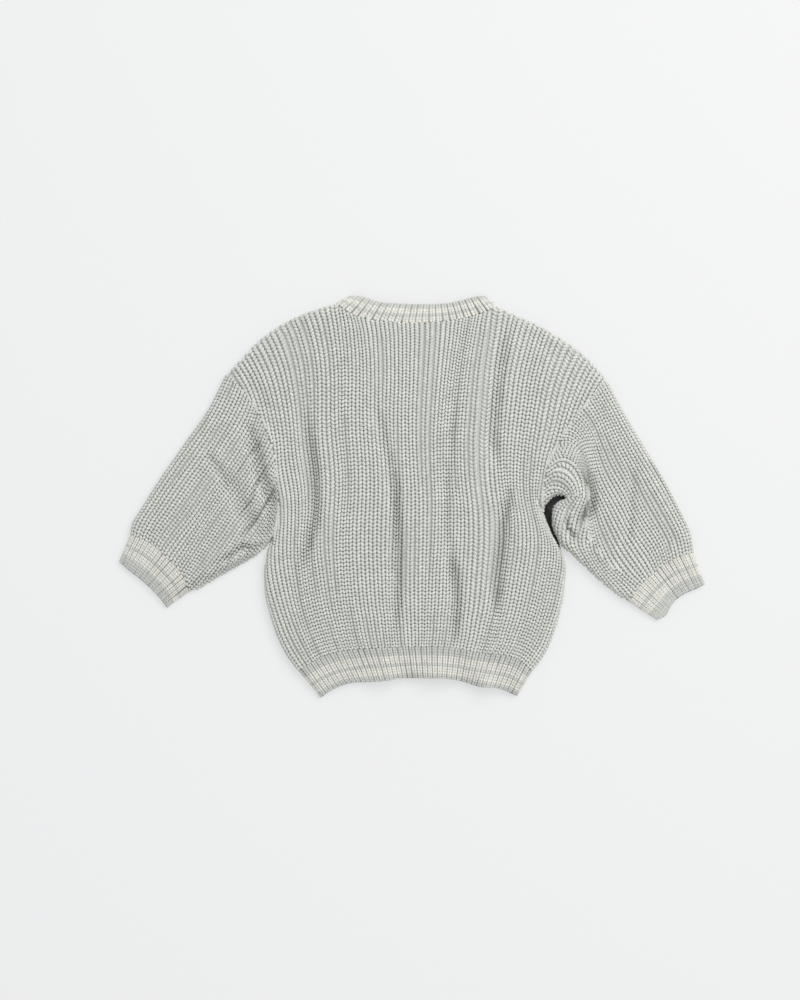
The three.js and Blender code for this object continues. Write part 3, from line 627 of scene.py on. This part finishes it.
def yarnMaterial(name, shade):
    material = bpy.data.materials.new(name)
    material.use_nodes = True
    tree = material.node_tree
    # toneAndShade: the yarn's random tone, with painted shade of troughs, valleys, grooves and the opening in
    # it
    stripe, toneAndShade = (addNode(tree, "ShaderNodeAttribute", attribute_name=key).outputs["Fac"]
                    for key in ("stripe", "toneAndShade"))
    grey, cream = ((*[c * shade for c in yarn[key]], 1) for key in ("grey", "cream"))
    colour = addNode(tree, "ShaderNodeMix", {"Factor": stripe, "A": grey, "B": cream}, data_type="RGBA")
    fibre = addNode(tree, "ShaderNodeGroup", {"Twist Scale": yarn["twist"], "Fuzz Scale": yarn["fuzz"]},
                    node_tree=fibreGroup).outputs
    darkened = addNode(tree, "ShaderNodeMath", {0: toneAndShade, 1: fibre["Shade"]}, operation="MULTIPLY")
    shaded = addNode(tree, "ShaderNodeVectorMath", {0: colour.outputs["Result"],
                                                    "Scale": darkened.outputs["Value"]}, operation="SCALE")
    relief = addNode(tree, "ShaderNodeBump", {
        "Strength": yarn["bump"], "Distance": yarn["bumpDepth"], "Height": fibre["Height"]})
    fillInputs(tree.nodes["Principled BSDF"], {
        "Base Color": shaded.outputs["Vector"], "Normal": relief.outputs["Normal"],
        "Roughness": yarn["roughness"], "Specular IOR Level": yarn["shine"],
        "Sheen Weight": yarn["sheen"], "Sheen Roughness": yarn["sheenRoughness"]})
    return material


stitchYarn = yarnMaterial("stitchYarn", 1.0)
# the ground's yarn is the stitches' yarn darkened by painted shade
groundYarn = yarnMaterial("groundYarn", yarn["deep"])
print("yarns made")


def stitchTree():
    # one tree for all stitches: on each point a rounded leg of yarn, bent, scaled and turned along its wale
    tree = bpy.data.node_groups.new("knitStitches", "GeometryNodeTree")
    addSockets(tree, "INPUT", "Geometry", ["Geometry"])
    addSockets(tree, "INPUT", "Float", ("Yarn Width", "Yarn Depth", "Overlap", "Sway", "Plump"))
    addSockets(tree, "INPUT", "Int", ("Sides", "Rings"))
    addSockets(tree, "INPUT", "Material", ["Yarn"])
    addSockets(tree, "OUTPUT", "Geometry", ["Geometry"])
    into = addNode(tree, "NodeGroupInput").outputs

    def named(name, kind="FLOAT"):
        reader = addNode(tree, "GeometryNodeInputNamedAttribute", {"Name": name}, data_type=kind)
        return reader.outputs["Attribute"]

    def worked(operation, *values):
        return addNode(tree, "ShaderNodeMath", dict(enumerate(values)), operation=operation).outputs["Value"]

    def stored(geometry, name, value):
        return addNode(tree, "GeometryNodeStoreNamedAttribute", {
            "Geometry": geometry, "Name": name, "Value": value},
            data_type="FLOAT2", domain="CORNER").outputs["Geometry"]

    # the leg: a ball of diameter 1, so that each scale is its whole size, fuller at its ends and swayed
    leg = addNode(tree, "GeometryNodeMeshUVSphere", {
        "Segments": into["Sides"], "Rings": into["Rings"], "Radius": 0.5}).outputs
    point = addNode(tree, "ShaderNodeSeparateXYZ", {
        "Vector": addNode(tree, "GeometryNodeInputPosition").outputs["Position"]}).outputs
    fuller = worked("MULTIPLY_ADD", worked("MULTIPLY", point["Z"], point["Z"]), into["Plump"], 1.0)
    sway = worked("SINE", worked("MULTIPLY", point["Z"], -2 * math.pi))
    bentPlace = addNode(tree, "ShaderNodeCombineXYZ", {
        "X": worked("MULTIPLY", point["X"], fuller),
        "Y": worked("MULTIPLY_ADD", sway, into["Sway"], worked("MULTIPLY", point["Y"], fuller)),
        "Z": point["Z"]})
    bent = addNode(tree, "GeometryNodeSetPosition", {
        "Geometry": leg["Mesh"], "Position": bentPlace.outputs["Vector"]})

    # its place
    aimed = addNode(tree, "FunctionNodeAlignRotationToVector", {
        "Vector": named("along", "FLOAT_VECTOR")}, axis="Z")
    faced = addNode(tree, "FunctionNodeAlignRotationToVector", {
        "Rotation": aimed.outputs["Rotation"], "Vector": named("outward", "FLOAT_VECTOR")},
        axis="X", pivot_axis="Z")
    bulk = named("bulk")
    size = addNode(tree, "ShaderNodeCombineXYZ", {
        "X": worked("MULTIPLY", into["Yarn Depth"], bulk), "Y": worked("MULTIPLY", into["Yarn Width"], bulk),
        "Z": worked("MULTIPLY", into["Overlap"], named("reach"))})
    placed = addNode(tree, "GeometryNodeInstanceOnPoints", {
        "Points": into["Geometry"], "Instance": bent.outputs["Geometry"],
        "Rotation": faced.outputs["Rotation"], "Scale": size.outputs["Vector"]})
    real = addNode(tree, "GeometryNodeRealizeInstances", {"Geometry": placed.outputs["Instances"]})

    # its maps: a cell of its own to bake in, and one round the yarn for the plies
    cell = named("cell", "FLOAT_VECTOR")
    side = addNode(tree, "ShaderNodeSeparateXYZ", {"Vector": cell}).outputs["Z"]
    square = addNode(tree, "ShaderNodeCombineXYZ", {"X": side, "Y": side}).outputs["Vector"]
    inCell = addNode(tree, "ShaderNodeVectorMath", {0: leg["UV Map"], 1: square, 2: cell},
                     operation="MULTIPLY_ADD")
    mapped = stored(real.outputs["Geometry"], "OFBake", inCell.outputs["Vector"])
    mapped = stored(mapped, "plyMap", leg["UV Map"])
    smooth = addNode(tree, "GeometryNodeSetShadeSmooth", {"Geometry": mapped})
    finish = addNode(tree, "GeometryNodeSetMaterial", {
        "Geometry": smooth.outputs["Geometry"], "Material": into["Yarn"]})
    addNode(tree, "NodeGroupOutput", {"Geometry": finish.outputs["Geometry"]})
    return tree


stitchNodes = stitchTree()
socketOf = {item.name: item.identifier for item in stitchNodes.interface.items_tree
            if item.item_type == "SOCKET" and item.in_out == "INPUT"}
print("stitch tree made")

courseCount = {
    "samples": 240,
    "shortest": 0.2,        # share of a course that still gets a stitch at the start of a wale
    "first": 0.15,          # share of a course that this stitch lies in from the seam, or more
}


def evenCourses(piece, wale):
    # shares along one wale that keep its stitches the same length, counted from the cuff
    share = np.linspace(0, 1, courseCount["samples"])
    across = np.full_like(share, (wale + 0.5) / piece["wales"])
    path = skinPoint(piece, across, share)[:, :2]
    reached = np.concatenate([[0], np.cumsum(np.hypot(*np.diff(path, axis=0).T))])
    count = int(reached[-1] / piece["evenCourse"] + (1 - courseCount["shortest"]))
    wanted = reached[-1] - (count - 0.5 - np.arange(count)) * piece["evenCourse"]
    places = np.interp(np.maximum(wanted, courseCount["first"] * piece["evenCourse"]), reached, share)
    return places, np.gradient(places)


def stitchPlaces(piece, first, last):
    # for each leg: its wale, its place along it, the length of its course and its side of the wale
    wales, places, steps = [], [], []
    for wale in range(first, last):
        if "evenCourse" in piece:
            v, step = evenCourses(piece, wale)
        else:
            v = (np.arange(piece["courses"]) + 0.5) / piece["courses"]
            step = np.full_like(v, 1 / piece["courses"])
        wales.append(np.full_like(v, wale))
        places.append(v)
        steps.append(step)
    both = [np.repeat(np.concatenate(row), 2) for row in (wales, places, steps)]
    return both + [np.tile((-1.0, 1.0), len(both[0]) // 2)]


def waleFrame(piece, u, v):
    # how far v must give way so that a step in u goes straight across the wale, and the wale's width
    reach = cloth["slopeStep"] / 2
    across = (skinPoint(piece, u + reach, v) - skinPoint(piece, u - reach, v)) / (2 * reach)
    low, high = np.maximum(v - reach, 0), np.minimum(v + reach, 1)
    along = (skinPoint(piece, u, high) - skinPoint(piece, u, low)) / (high - low)[:, None]
    length = np.sum(along * along, axis=1)
    giveWay = -np.sum(across * along, axis=1) / length
    straight = across + along * giveWay[:, None]
    return giveWay, np.linalg.norm(straight, axis=1) / piece["wales"]


cellMargin = 0.05               # of a leg's cell of the bake map
unevenYarn = {
    "drawnFrom": 0.22, "drawnOver": 0.4,        # of the soft waves, where a valley starts to be drawn in
    "drawnCloser": 0.15, "drawnDeeper": 0.30,   # share of a leg's place across, and its drop
    "shortest": 0.5,                            # no leg is shorter than this
    "thinnest": 0.72, "thickest": 1.05, "thinPower": 0.7,       # of the yarn where wales are close or wide
    "waveSize": 9.0, "waveShare": 0.06, "bulkSpread": 0.03, "toneSpread": 0.035,
    "foldShade": 0.8,                           # share of a trough's shade that the stitches take
}


def stitchLegs(piece, waleRange, tones):
    # both legs of every stitch, as places with a direction, a length and a tone that holds painted shade
    wale, v, step, side = stitchPlaces(piece, *waleRange)
    wales, stitch, growth = piece["wales"], piece["stitch"], piece.get("growth", 1.0)
    shown = shownAt(piece, (wale + 0.5) / wales, v)
    rim = 0.5 / wales           # a wale that runs into a seam keeps a chain of stitches on it
    wale, v, step, side = (row[(shown > -rim) & (shown < 1 + rim)] for row in (wale, v, step, side))
    u = (wale + 0.5) / wales
    giveWay, waleWidth = waleFrame(piece, u, v)
    valley = wale + (side > 0)      # here and there a valley is drawn in deeper than its neighbours
    drawn = softWaves(valley + piece["seed"], v * stitch["drawnAlong"], 1.0)
    drawn = smoothStep((drawn - unevenYarn["drawnFrom"]) / unevenYarn["drawnOver"])
    ends = []
    for across, along, height in ((stitch["closeAcross"], -0.5, stitch["closeHeight"]),
                                  (stitch["openAcross"], 0.5, stitch["openHeight"])):
        sideways = side * across * (1 - unevenYarn["drawnCloser"] * drawn) / wales
        endU = u + sideways
        endV = np.clip(v + growth * along * stitch["stretch"] * step + sideways * giveWay, 0, 1)
        rib = stitch["rib"] * readGrid(piece["easeRib"], endU, endV) * ribProfile(piece, endU)
        lift = height - unevenYarn["drawnDeeper"] * drawn + rib
        ends.append(clothPoint(piece, endU, endV, lift))
    along = ends[1][0] - ends[0][0]
    reach = np.maximum(np.linalg.norm(along, axis=1), unevenYarn["shortest"])
    middles = (ends[0][0] + ends[1][0]) / 2
    centre = inMetres(middles)
    centre[:, 2] = np.maximum(centre[:, 2], stitch["lowest"] / 1000)
    bulk = np.clip(waleWidth / stitch["fullAt"], unevenYarn["thinnest"], unevenYarn["thickest"])
    waves = unevenYarn["waveShare"] * softWaves(middles[:, 0], middles[:, 1], unevenYarn["waveSize"])
    bulk = bulk ** unevenYarn["thinPower"] * (1 + waves + tones.normal(0, unevenYarn["bulkSpread"], len(u)))
    # random tone of each leg, darkened by painted shade in drawn-in valleys, in troughs and under the opening
    toneAndShade = (1 + tones.normal(0, unevenYarn["toneSpread"], len(u))) * (1 - stitch["drawnShade"] * drawn)
    if "stripes" in piece:
        toneAndShade = toneAndShade * (yarn["bandGrey"] + (1 - yarn["bandGrey"]) * stripeAt(piece, v))
    if piece["layer"] == "upper":
        toneAndShade = toneAndShade * foldShade(middles[:, 0], middles[:, 1], unevenYarn["foldShade"])
    else:
        toneAndShade = toneAndShade * insideShade(middles)
    perRow = math.ceil(math.sqrt(len(u)))
    order = np.arange(len(u))
    cell = np.stack([(order % perRow + cellMargin) / perRow, (order // perRow + cellMargin) / perRow,
                     np.full(len(u), (1 - 2 * cellMargin) / perRow)], -1)
    turned = (side * piece["facing"] * growth)[:, None]     # mirrors the sway of the two legs
    return {
        "centre": centre,
        "vectors": {"along": along / reach[:, None], "outward": (ends[0][1] + ends[1][1]) * turned,
                    "cell": cell},
        "floats": {"reach": reach / 1000, "bulk": bulk, "toneAndShade": toneAndShade, "stripe": stripeAt(piece, v)},
    }


def newObject(name, data):      # at the origin
    made = bpy.data.objects.new(name, data)
    bpy.context.scene.collection.objects.link(made)
    return made


def storeAttribute(mesh, name, values, kind="FLOAT", field="value"):
    mesh.attributes.new(name, kind, "POINT").data.foreach_set(field, values.astype(np.float32).ravel())


def stitchPiece(name, piece, waleRange, tones):
    legs = stitchLegs(piece, waleRange, tones)
    mesh = bpy.data.meshes.new(name)
    mesh.from_pydata(legs["centre"].tolist(), [], [])
    for key, values in legs["vectors"].items():
        storeAttribute(mesh, key, values, "FLOAT_VECTOR", "vector")
    for key, values in legs["floats"].items():
        storeAttribute(mesh, key, values)
    holder = newObject(name + "_places", mesh)
    made = holder.modifiers.new("stitches", "NODES")
    made.node_group = stitchNodes
    stitch = piece["stitch"]
    made[socketOf["Yarn Width"]] = stitch["width"] / 1000
    made[socketOf["Yarn Depth"]] = stitch["depth"] / 1000
    made[socketOf["Yarn"]] = stitchYarn
    for socket in ("Overlap", "Sway", "Plump", "Sides", "Rings"):
        made[socketOf[socket]] = stitch[socket.lower()]
    graph = bpy.context.evaluated_depsgraph_get()
    plain = bpy.data.meshes.new_from_object(holder.evaluated_get(graph))
    plain.name = name
    bpy.data.objects.remove(holder)
    for key in ("along", "outward", "cell", "reach", "bulk"):       # the tree has used them up
        if key in plain.attributes:
            plain.attributes.remove(plain.attributes[key])
    return newObject(name, plain)


evenEase = np.tile(np.linspace(0, 1, 9), (2, 1))    # the ground is even, only the stitches bunch


def gridFaces(rows, columns, offset, flip):     # its points are numbered row by row from the offset on
    j, i = np.meshgrid(np.arange(rows - 1), np.arange(columns - 1), indexing="ij")
    a = offset + j * columns + i
    quads = np.stack([a, a + 1, a + columns + 1, a + columns], -1).reshape(-1, 4)
    return quads[:, ::-1] if flip else quads


def groundGrid(piece, height, rib):
    piece = dict(piece, easeU=evenEase)
    piece.pop("runOff", None)
    columns, rows = piece["groundColumns"] + 1, piece["groundRows"] + 1
    v, u = np.meshgrid(np.linspace(0, 1, rows), np.linspace(0, 1, columns), indexing="ij")
    return clothPoint(piece, u, v, height + rib * ribProfile(piece, u))[0], u, v


groundMap = {"filled": 0.98, "plyScale": 40.0}      # filled: how much of its part of the bake map
groundShade = 1.8               # share of a trough's shade that the ground between the stitches takes
grooveWaves = {"shift": 3.7, "size": 21.0, "longer": 5, "contrast": 0.9}     # longer: along the grooves


def grooveShade(grooves, points):    # painted shade in the grooves of a band, darker where its ribs crowd together
    waves = softWaves(points[..., 0] + grooveWaves["shift"], points[..., 1] / grooveWaves["longer"],
                      grooveWaves["size"])
    return grooves[0] - grooves[1] * smoothStep(0.5 + grooveWaves["contrast"] * waves)


def groundPiece(name, pieces):
    # the thin wall that the stitches stand on: for each layer outer and inner skins and the rim between
    blocks, faces, uvs, stripes, shades = [], [], [], [], []
    offset = 0
    for k, piece in enumerate(pieces):
        ground = piece["ground"]
        grids = [groundGrid(piece, ground["outer"], ground["rib"]), groundGrid(piece, ground["inner"], 0)]
        rows, columns = grids[0][1].shape
        flips = piece["facing"] < 0
        for inner, (points, u, v) in enumerate(grids):
            level = ground["innerLevel"] if inner else ground["outerLevel"]
            points[..., 2] = np.clip(points[..., 2], *level)
            blocks.append(inMetres(points))
            faces.append(gridFaces(rows, columns, offset + inner * rows * columns, flips != (inner == 1)))
            filled, skins = groundMap["filled"], 2 * len(pieces)
            across = (k * 2 + inner) / skins + u * filled / skins
            uvs.append(np.stack([across, v * filled], -1).reshape(-1, 2))
            stripes.append(stripeAt(piece, v).ravel())
            hidden = piece["layer"] == "lower" or inner
            shade = insideShade(points) if hidden else foldShade(points[..., 0], points[..., 1], groundShade)
            if "grooves" in piece:
                shade = shade * grooveShade(piece["grooves"], points)
            shades.append(shade.ravel())
        index = offset + np.arange(2 * rows * columns).reshape(2, rows, columns)
        for rim in (index[:, 0, :], index[:, -1, ::-1], index[:, :, -1], index[:, ::-1, 0]):
            strip = np.stack([rim[0, 1:], rim[0, :-1], rim[1, :-1], rim[1, 1:]], -1)
            faces.append(strip[:, ::-1] if flips else strip)
        offset += 2 * rows * columns
    mesh = bpy.data.meshes.new(name)
    mesh.from_pydata(np.concatenate(blocks).tolist(), [], np.concatenate(faces).tolist())
    flatUv = np.concatenate(uvs)
    corners = np.zeros(len(mesh.loops), int)
    mesh.loops.foreach_get("vertex_index", corners)
    for mapName, scale in (("OFBake", 1.0), ("plyMap", groundMap["plyScale"])):
        placed = (flatUv[corners] * scale).astype(np.float32).ravel()
        mesh.uv_layers.new(name=mapName).data.foreach_set("uv", placed)
    storeAttribute(mesh, "stripe", np.concatenate(stripes))
    storeAttribute(mesh, "toneAndShade", np.concatenate(shades))
    mesh.materials.append(groundYarn)
    mesh.shade_smooth()
    return newObject(name, mesh)


# A leg of a stitch runs from its close end, near the wale's middle, to its open end, towards the valley.
# Across: shares of a wale's width. Height: from the cloth's skin. Rib: how much higher on a wale's crest.
bodyStitch = {
    "width": 3.3, "depth": 1.75, "overlap": 1.15, "sway": 0.12, "plump": 0.15, "sides": 6, "rings": 4,
    "closeAcross": 0.05, "closeHeight": -0.6,
    "openAcross": 0.462, "openHeight": -0.55,
    "stretch": 0.70,        # how far a leg climbs along the wale, in courses
    "rib": 0.48,
    "fullAt": 6.4,          # width of a wale at which the yarn has its full size
    "lowest": 1.0,          # no leg's middle lies lower than this above the table
    "drawnAlong": 3.5, "drawnShade": 0.06,      # how often along a piece valleys are drawn in, and how dark
}
ribStitch = {
    "width": 2.8, "depth": 1.9, "overlap": 1.35, "sway": 0.05, "plump": 0.4, "sides": 6, "rings": 4,
    "closeAcross": 0.16, "closeHeight": -0.9,
    "openAcross": 0.29, "openHeight": -0.9,
    "stretch": 1.05, "rib": 0.5, "fullAt": 5.4, "lowest": 0.9, "drawnAlong": 0.8, "drawnShade": 0.05,
}
neckStitch = dict(ribStitch, width=3.4, closeAcross=0.15, openAcross=0.30, rib=0.1)
flatStitch = dict(bodyStitch, sides=4, rings=3, closeHeight=-1.1, openHeight=-1.2, rib=0.1)
flatRib = dict(ribStitch, sides=4, rings=3, closeHeight=-1.0, openHeight=-1.1, rib=0.1)

# Heights of the ground's two skins from the cloth's, and the levels between which each one stays.
upperGround = {"outer": -1.8, "rib": 0.2, "inner": -3.2, "outerLevel": (3.7, 99), "innerLevel": (3.5, 99)}
ribGround = dict(upperGround, outer=-1.0, inner=-3.0)
lowerGround = {"outer": -1.9, "rib": 0.0, "inner": -3.3, "outerLevel": (0, 3.45), "innerLevel": (0, 3.45)}
wavyGround = dict(lowerGround, outerLevel=(0, 13), innerLevel=(0, 13))

# How much the wales bunch, over how many of them, how often along the piece, and how much in troughs.
# Edges below 0 make them narrower at both edges, a tilt above 0 wider towards the second edge.
looseEase = {"uneven": 0.30, "wales": 2.6, "along": 1.2, "inTroughs": 0.10}
bandEase = {"uneven": 0.16, "wales": 3.5, "along": 0.3}


def layered(shape, facing, common, lowerShape=None):    # the two layers of a tube laid flat
    band = "stripes" in common
    upper = dict(common, shape=shape, layer="upper", facing=facing, ground=ribGround if band else upperGround)
    if band:
        upper["settle"] = bandEdge["settle"]
    lower = dict(common, shape=lowerShape or shape, layer="lower", facing=-facing,
                 ground=wavyGround if "waves" in common else lowerGround,
                 stitch=flatRib if band else flatStitch)
    return upper, lower


# Run-off: shares of the wales that have run round an edge, from a piece's first course to its last.
armholeRun = {"share": 0.08, "middle": 0.64, "reach": 0.25, "places": 40}
armholeEdge = armholeRun["share"] * np.exp(
    -((np.linspace(0, 1, armholeRun["places"]) - armholeRun["middle"]) / armholeRun["reach"]) ** 2)
panels = {"wales": body["wales"], "courses": body["courses"], "stitch": bodyStitch,
          "groundColumns": 168, "groundRows": 76, "ease": dict(looseEase, edges=-0.03)}
backUpper = dict(panels, shape=BodyShape("backNeck", "rightSide", "rightArmhole"), layer="upper", facing=1,
                 ground=upperGround, edgeLevel=upperBase + cloth["rim"], runOff=[armholeEdge, armholeEdge])
frontLower = dict(panels, shape=BodyShape("frontNeck", "rightSideBelow", "rightArmholeBelow"), layer="lower",
                  facing=-1, ground=lowerGround, stitch=flatStitch, edgeLevel=layerTop - cloth["rim"],
                  groundColumns=84, groundRows=60)

# Growth -1: the legs of the stitches open towards the piece's first course.
# Stripes: the cream shares of a band from its seam to its free edge.
# Grooves: their tone under painted shade, and how much of it goes where the ribs crowd together.
sleeves = {
    "wales": 21, "evenCourse": 3.2, "growth": -1, "stitch": bodyStitch,
    "groundColumns": 80, "groundRows": 44,
    "ease": dict(looseEase, tilt=0.13), "runOff": [[0, 0], [0, 0.36]],
}
cuffs = {
    "wales": 20, "courses": 12, "growth": -1, "stitch": ribStitch, "ease": bandEase,
    "groundColumns": 60, "groundRows": 14,
    "stripes": [(0.0, 0.30), (0.38, 0.70)], "grooves": (0.66, 0.38),
}
hem = {
    "wales": 44, "courses": 12, "growth": -1, "stitch": ribStitch, "ease": bandEase, "waves": hemWaves,
    "groundColumns": 126, "groundRows": 14,
    "stripes": [(0.27, 0.50), (0.62, 0.86)], "grooves": (0.66, 0.38),
}
neckband = {
    "wales": 24, "courses": 7, "stitch": neckStitch, "ease": bandEase,
    "groundColumns": 96, "groundRows": 10,
    "stripes": [(0.0, 0.34), (0.42, 0.66)], "grooves": (0.58, 0.20),
}

# Flat: the cut's width, all round on a tube, and its length, in metres, and its area in square metres.
# Splits: how many objects the stitches of a layer make.
garment = [
    {"name": "back", "node": "back_panel", "slot": "sage_knit", "layers": [backUpper],
     "splits": 2, "flat": (0.290, 0.320), "area": 0.0800},
    {"name": "front", "node": "front_panel", "slot": "sage_knit", "layers": [frontLower],
     "splits": 2, "flat": (0.290, 0.320), "area": 0.0760},
    {"name": "sleeveLeft", "node": "left_sleeve", "slot": "sage_knit",
     "layers": layered(sleeveShape("left"), -1, sleeves), "flat": (0.290, 0.170), "area": 0.0380},
    {"name": "sleeveRight", "node": "right_sleeve", "slot": "sage_knit",
     "layers": layered(TubeShape(openedSleevePlace()), 1, sleeves, sleeveShape("right")),
     "flat": (0.290, 0.170), "area": 0.0380},
    {"name": "cuffLeft", "node": "left_cuff", "slot": "striped_rib",
     "layers": layered(bandShape("leftCuffSeam", "leftCuffEdge"), -1, cuffs), "flat": (0.150, 0.030)},
    {"name": "cuffRight", "node": "right_cuff", "slot": "striped_rib",
     "layers": layered(bandShape("rightCuffSeam", "rightCuffEdge"), 1, cuffs), "flat": (0.150, 0.029)},
    {"name": "hem", "node": "hem_band", "slot": "striped_rib",
     "layers": layered(bandShape("hemSeam", "hemEdge"), -1, hem), "flat": (0.430, 0.030)},
    {"name": "neck", "node": "neckband", "slot": "striped_rib",
     "layers": layered(bandShape("backNeck", "backBandEdge"), 1, neckband,
                       bandShape("frontNeck", "frontBandEdge")), "flat": (0.340, 0.018)},
]
seeds = {"ease": 7.3, "drawn": 9}       # steps that take each piece to its own part of the soft waves

tones = np.random.default_rng(7)
for number, part in enumerate(garment):
    for layer in part["layers"]:
        easeCloth(layer, number * seeds["ease"])
        layer["seed"] = number * seeds["drawn"]
    ground = groundPiece(part["name"] + "Ground", part["layers"])
    knits = []
    for layer in part["layers"]:
        count = part.get("splits", 1)
        edges = np.linspace(0, layer["wales"], count + 1).astype(int)
        for k in range(count):
            label = layer["layer"].capitalize() + ("" if count == 1 else str(k + 1))
            knits.append(stitchPiece(part["name"] + "Knit" + label, layer, (edges[k], edges[k + 1]), tones))
    for made in [ground, *knits]:
        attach(made, "root")
    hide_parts(part["node"])
    part.get("area")
    print(part["name"], "made,", sum(len(made.data.polygons) for made in [ground, *knits]), "faces")

table = {"side": 6.0, "colour": (0.34, 0.342, 0.345), "roughness": 0.8, "shine": 0.1, "glow": 0.52}


def makeTable():                # pale, and lit a little from below
    half = table["side"] / 2
    mesh = bpy.data.meshes.new("table")
    mesh.from_pydata([(x * half, y * half, 0) for x, y in ((-1, -1), (1, -1), (1, 1), (-1, 1))],
                     [], [(0, 1, 2, 3)])
    material = bpy.data.materials.new("tableTop")
    material.use_nodes = True
    fillInputs(material.node_tree.nodes["Principled BSDF"], {
        "Base Color": (*table["colour"], 1), "Roughness": table["roughness"],
        "Specular IOR Level": table["shine"],
        "Emission Color": (1, 1, 1, 1), "Emission Strength": table["glow"]})
    mesh.materials.append(material)
    newObject("table", mesh)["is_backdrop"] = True


light = {
    "skyColour": (0.955, 0.972, 0.995), "skyStrength": 0.70,
    "keyColour": (1.0, 0.985, 0.965), "keyPlace": (1.25, 1.25, 2.1),    # a softbox, upper right of the view
    "keySize": 2.2, "keyPower": 42.0,
}


def makeLights():
    world = bpy.data.worlds.new("studio")
    bpy.context.scene.world = world
    world.use_nodes = True
    fillInputs(world.node_tree.nodes["Background"], {
        "Color": (*light["skyColour"], 1), "Strength": light["skyStrength"]})
    data = bpy.data.lights.new("softbox", "AREA")
    data.shape, data.size = "DISK", light["keySize"]
    data.energy = light["keyPower"]
    data.color = light["keyColour"]
    key = newObject("softbox", data)
    key.location = light["keyPlace"]
    key.rotation_euler = Vector(light["keyPlace"]).to_track_quat("Z", "Y").to_euler()


view = {"height": 3.0, "width": 0.720, "centre": (-0.0108, -0.0032), "sensor": 36.0}


def makeCamera():               # straight down on a stretch of the table as wide as the view
    data = bpy.data.cameras.new("camera")
    data.sensor_fit = "HORIZONTAL"
    data.sensor_width = view["sensor"]
    data.lens = view["sensor"] * view["height"] / view["width"]
    made = newObject("camera", data)
    made.location = (*view["centre"], view["height"])
    bpy.context.scene.camera = made


makeTable()
makeLights()
makeCamera()
bpy.context.scene.view_settings.view_transform = "Standard"
print("table, light and camera set")
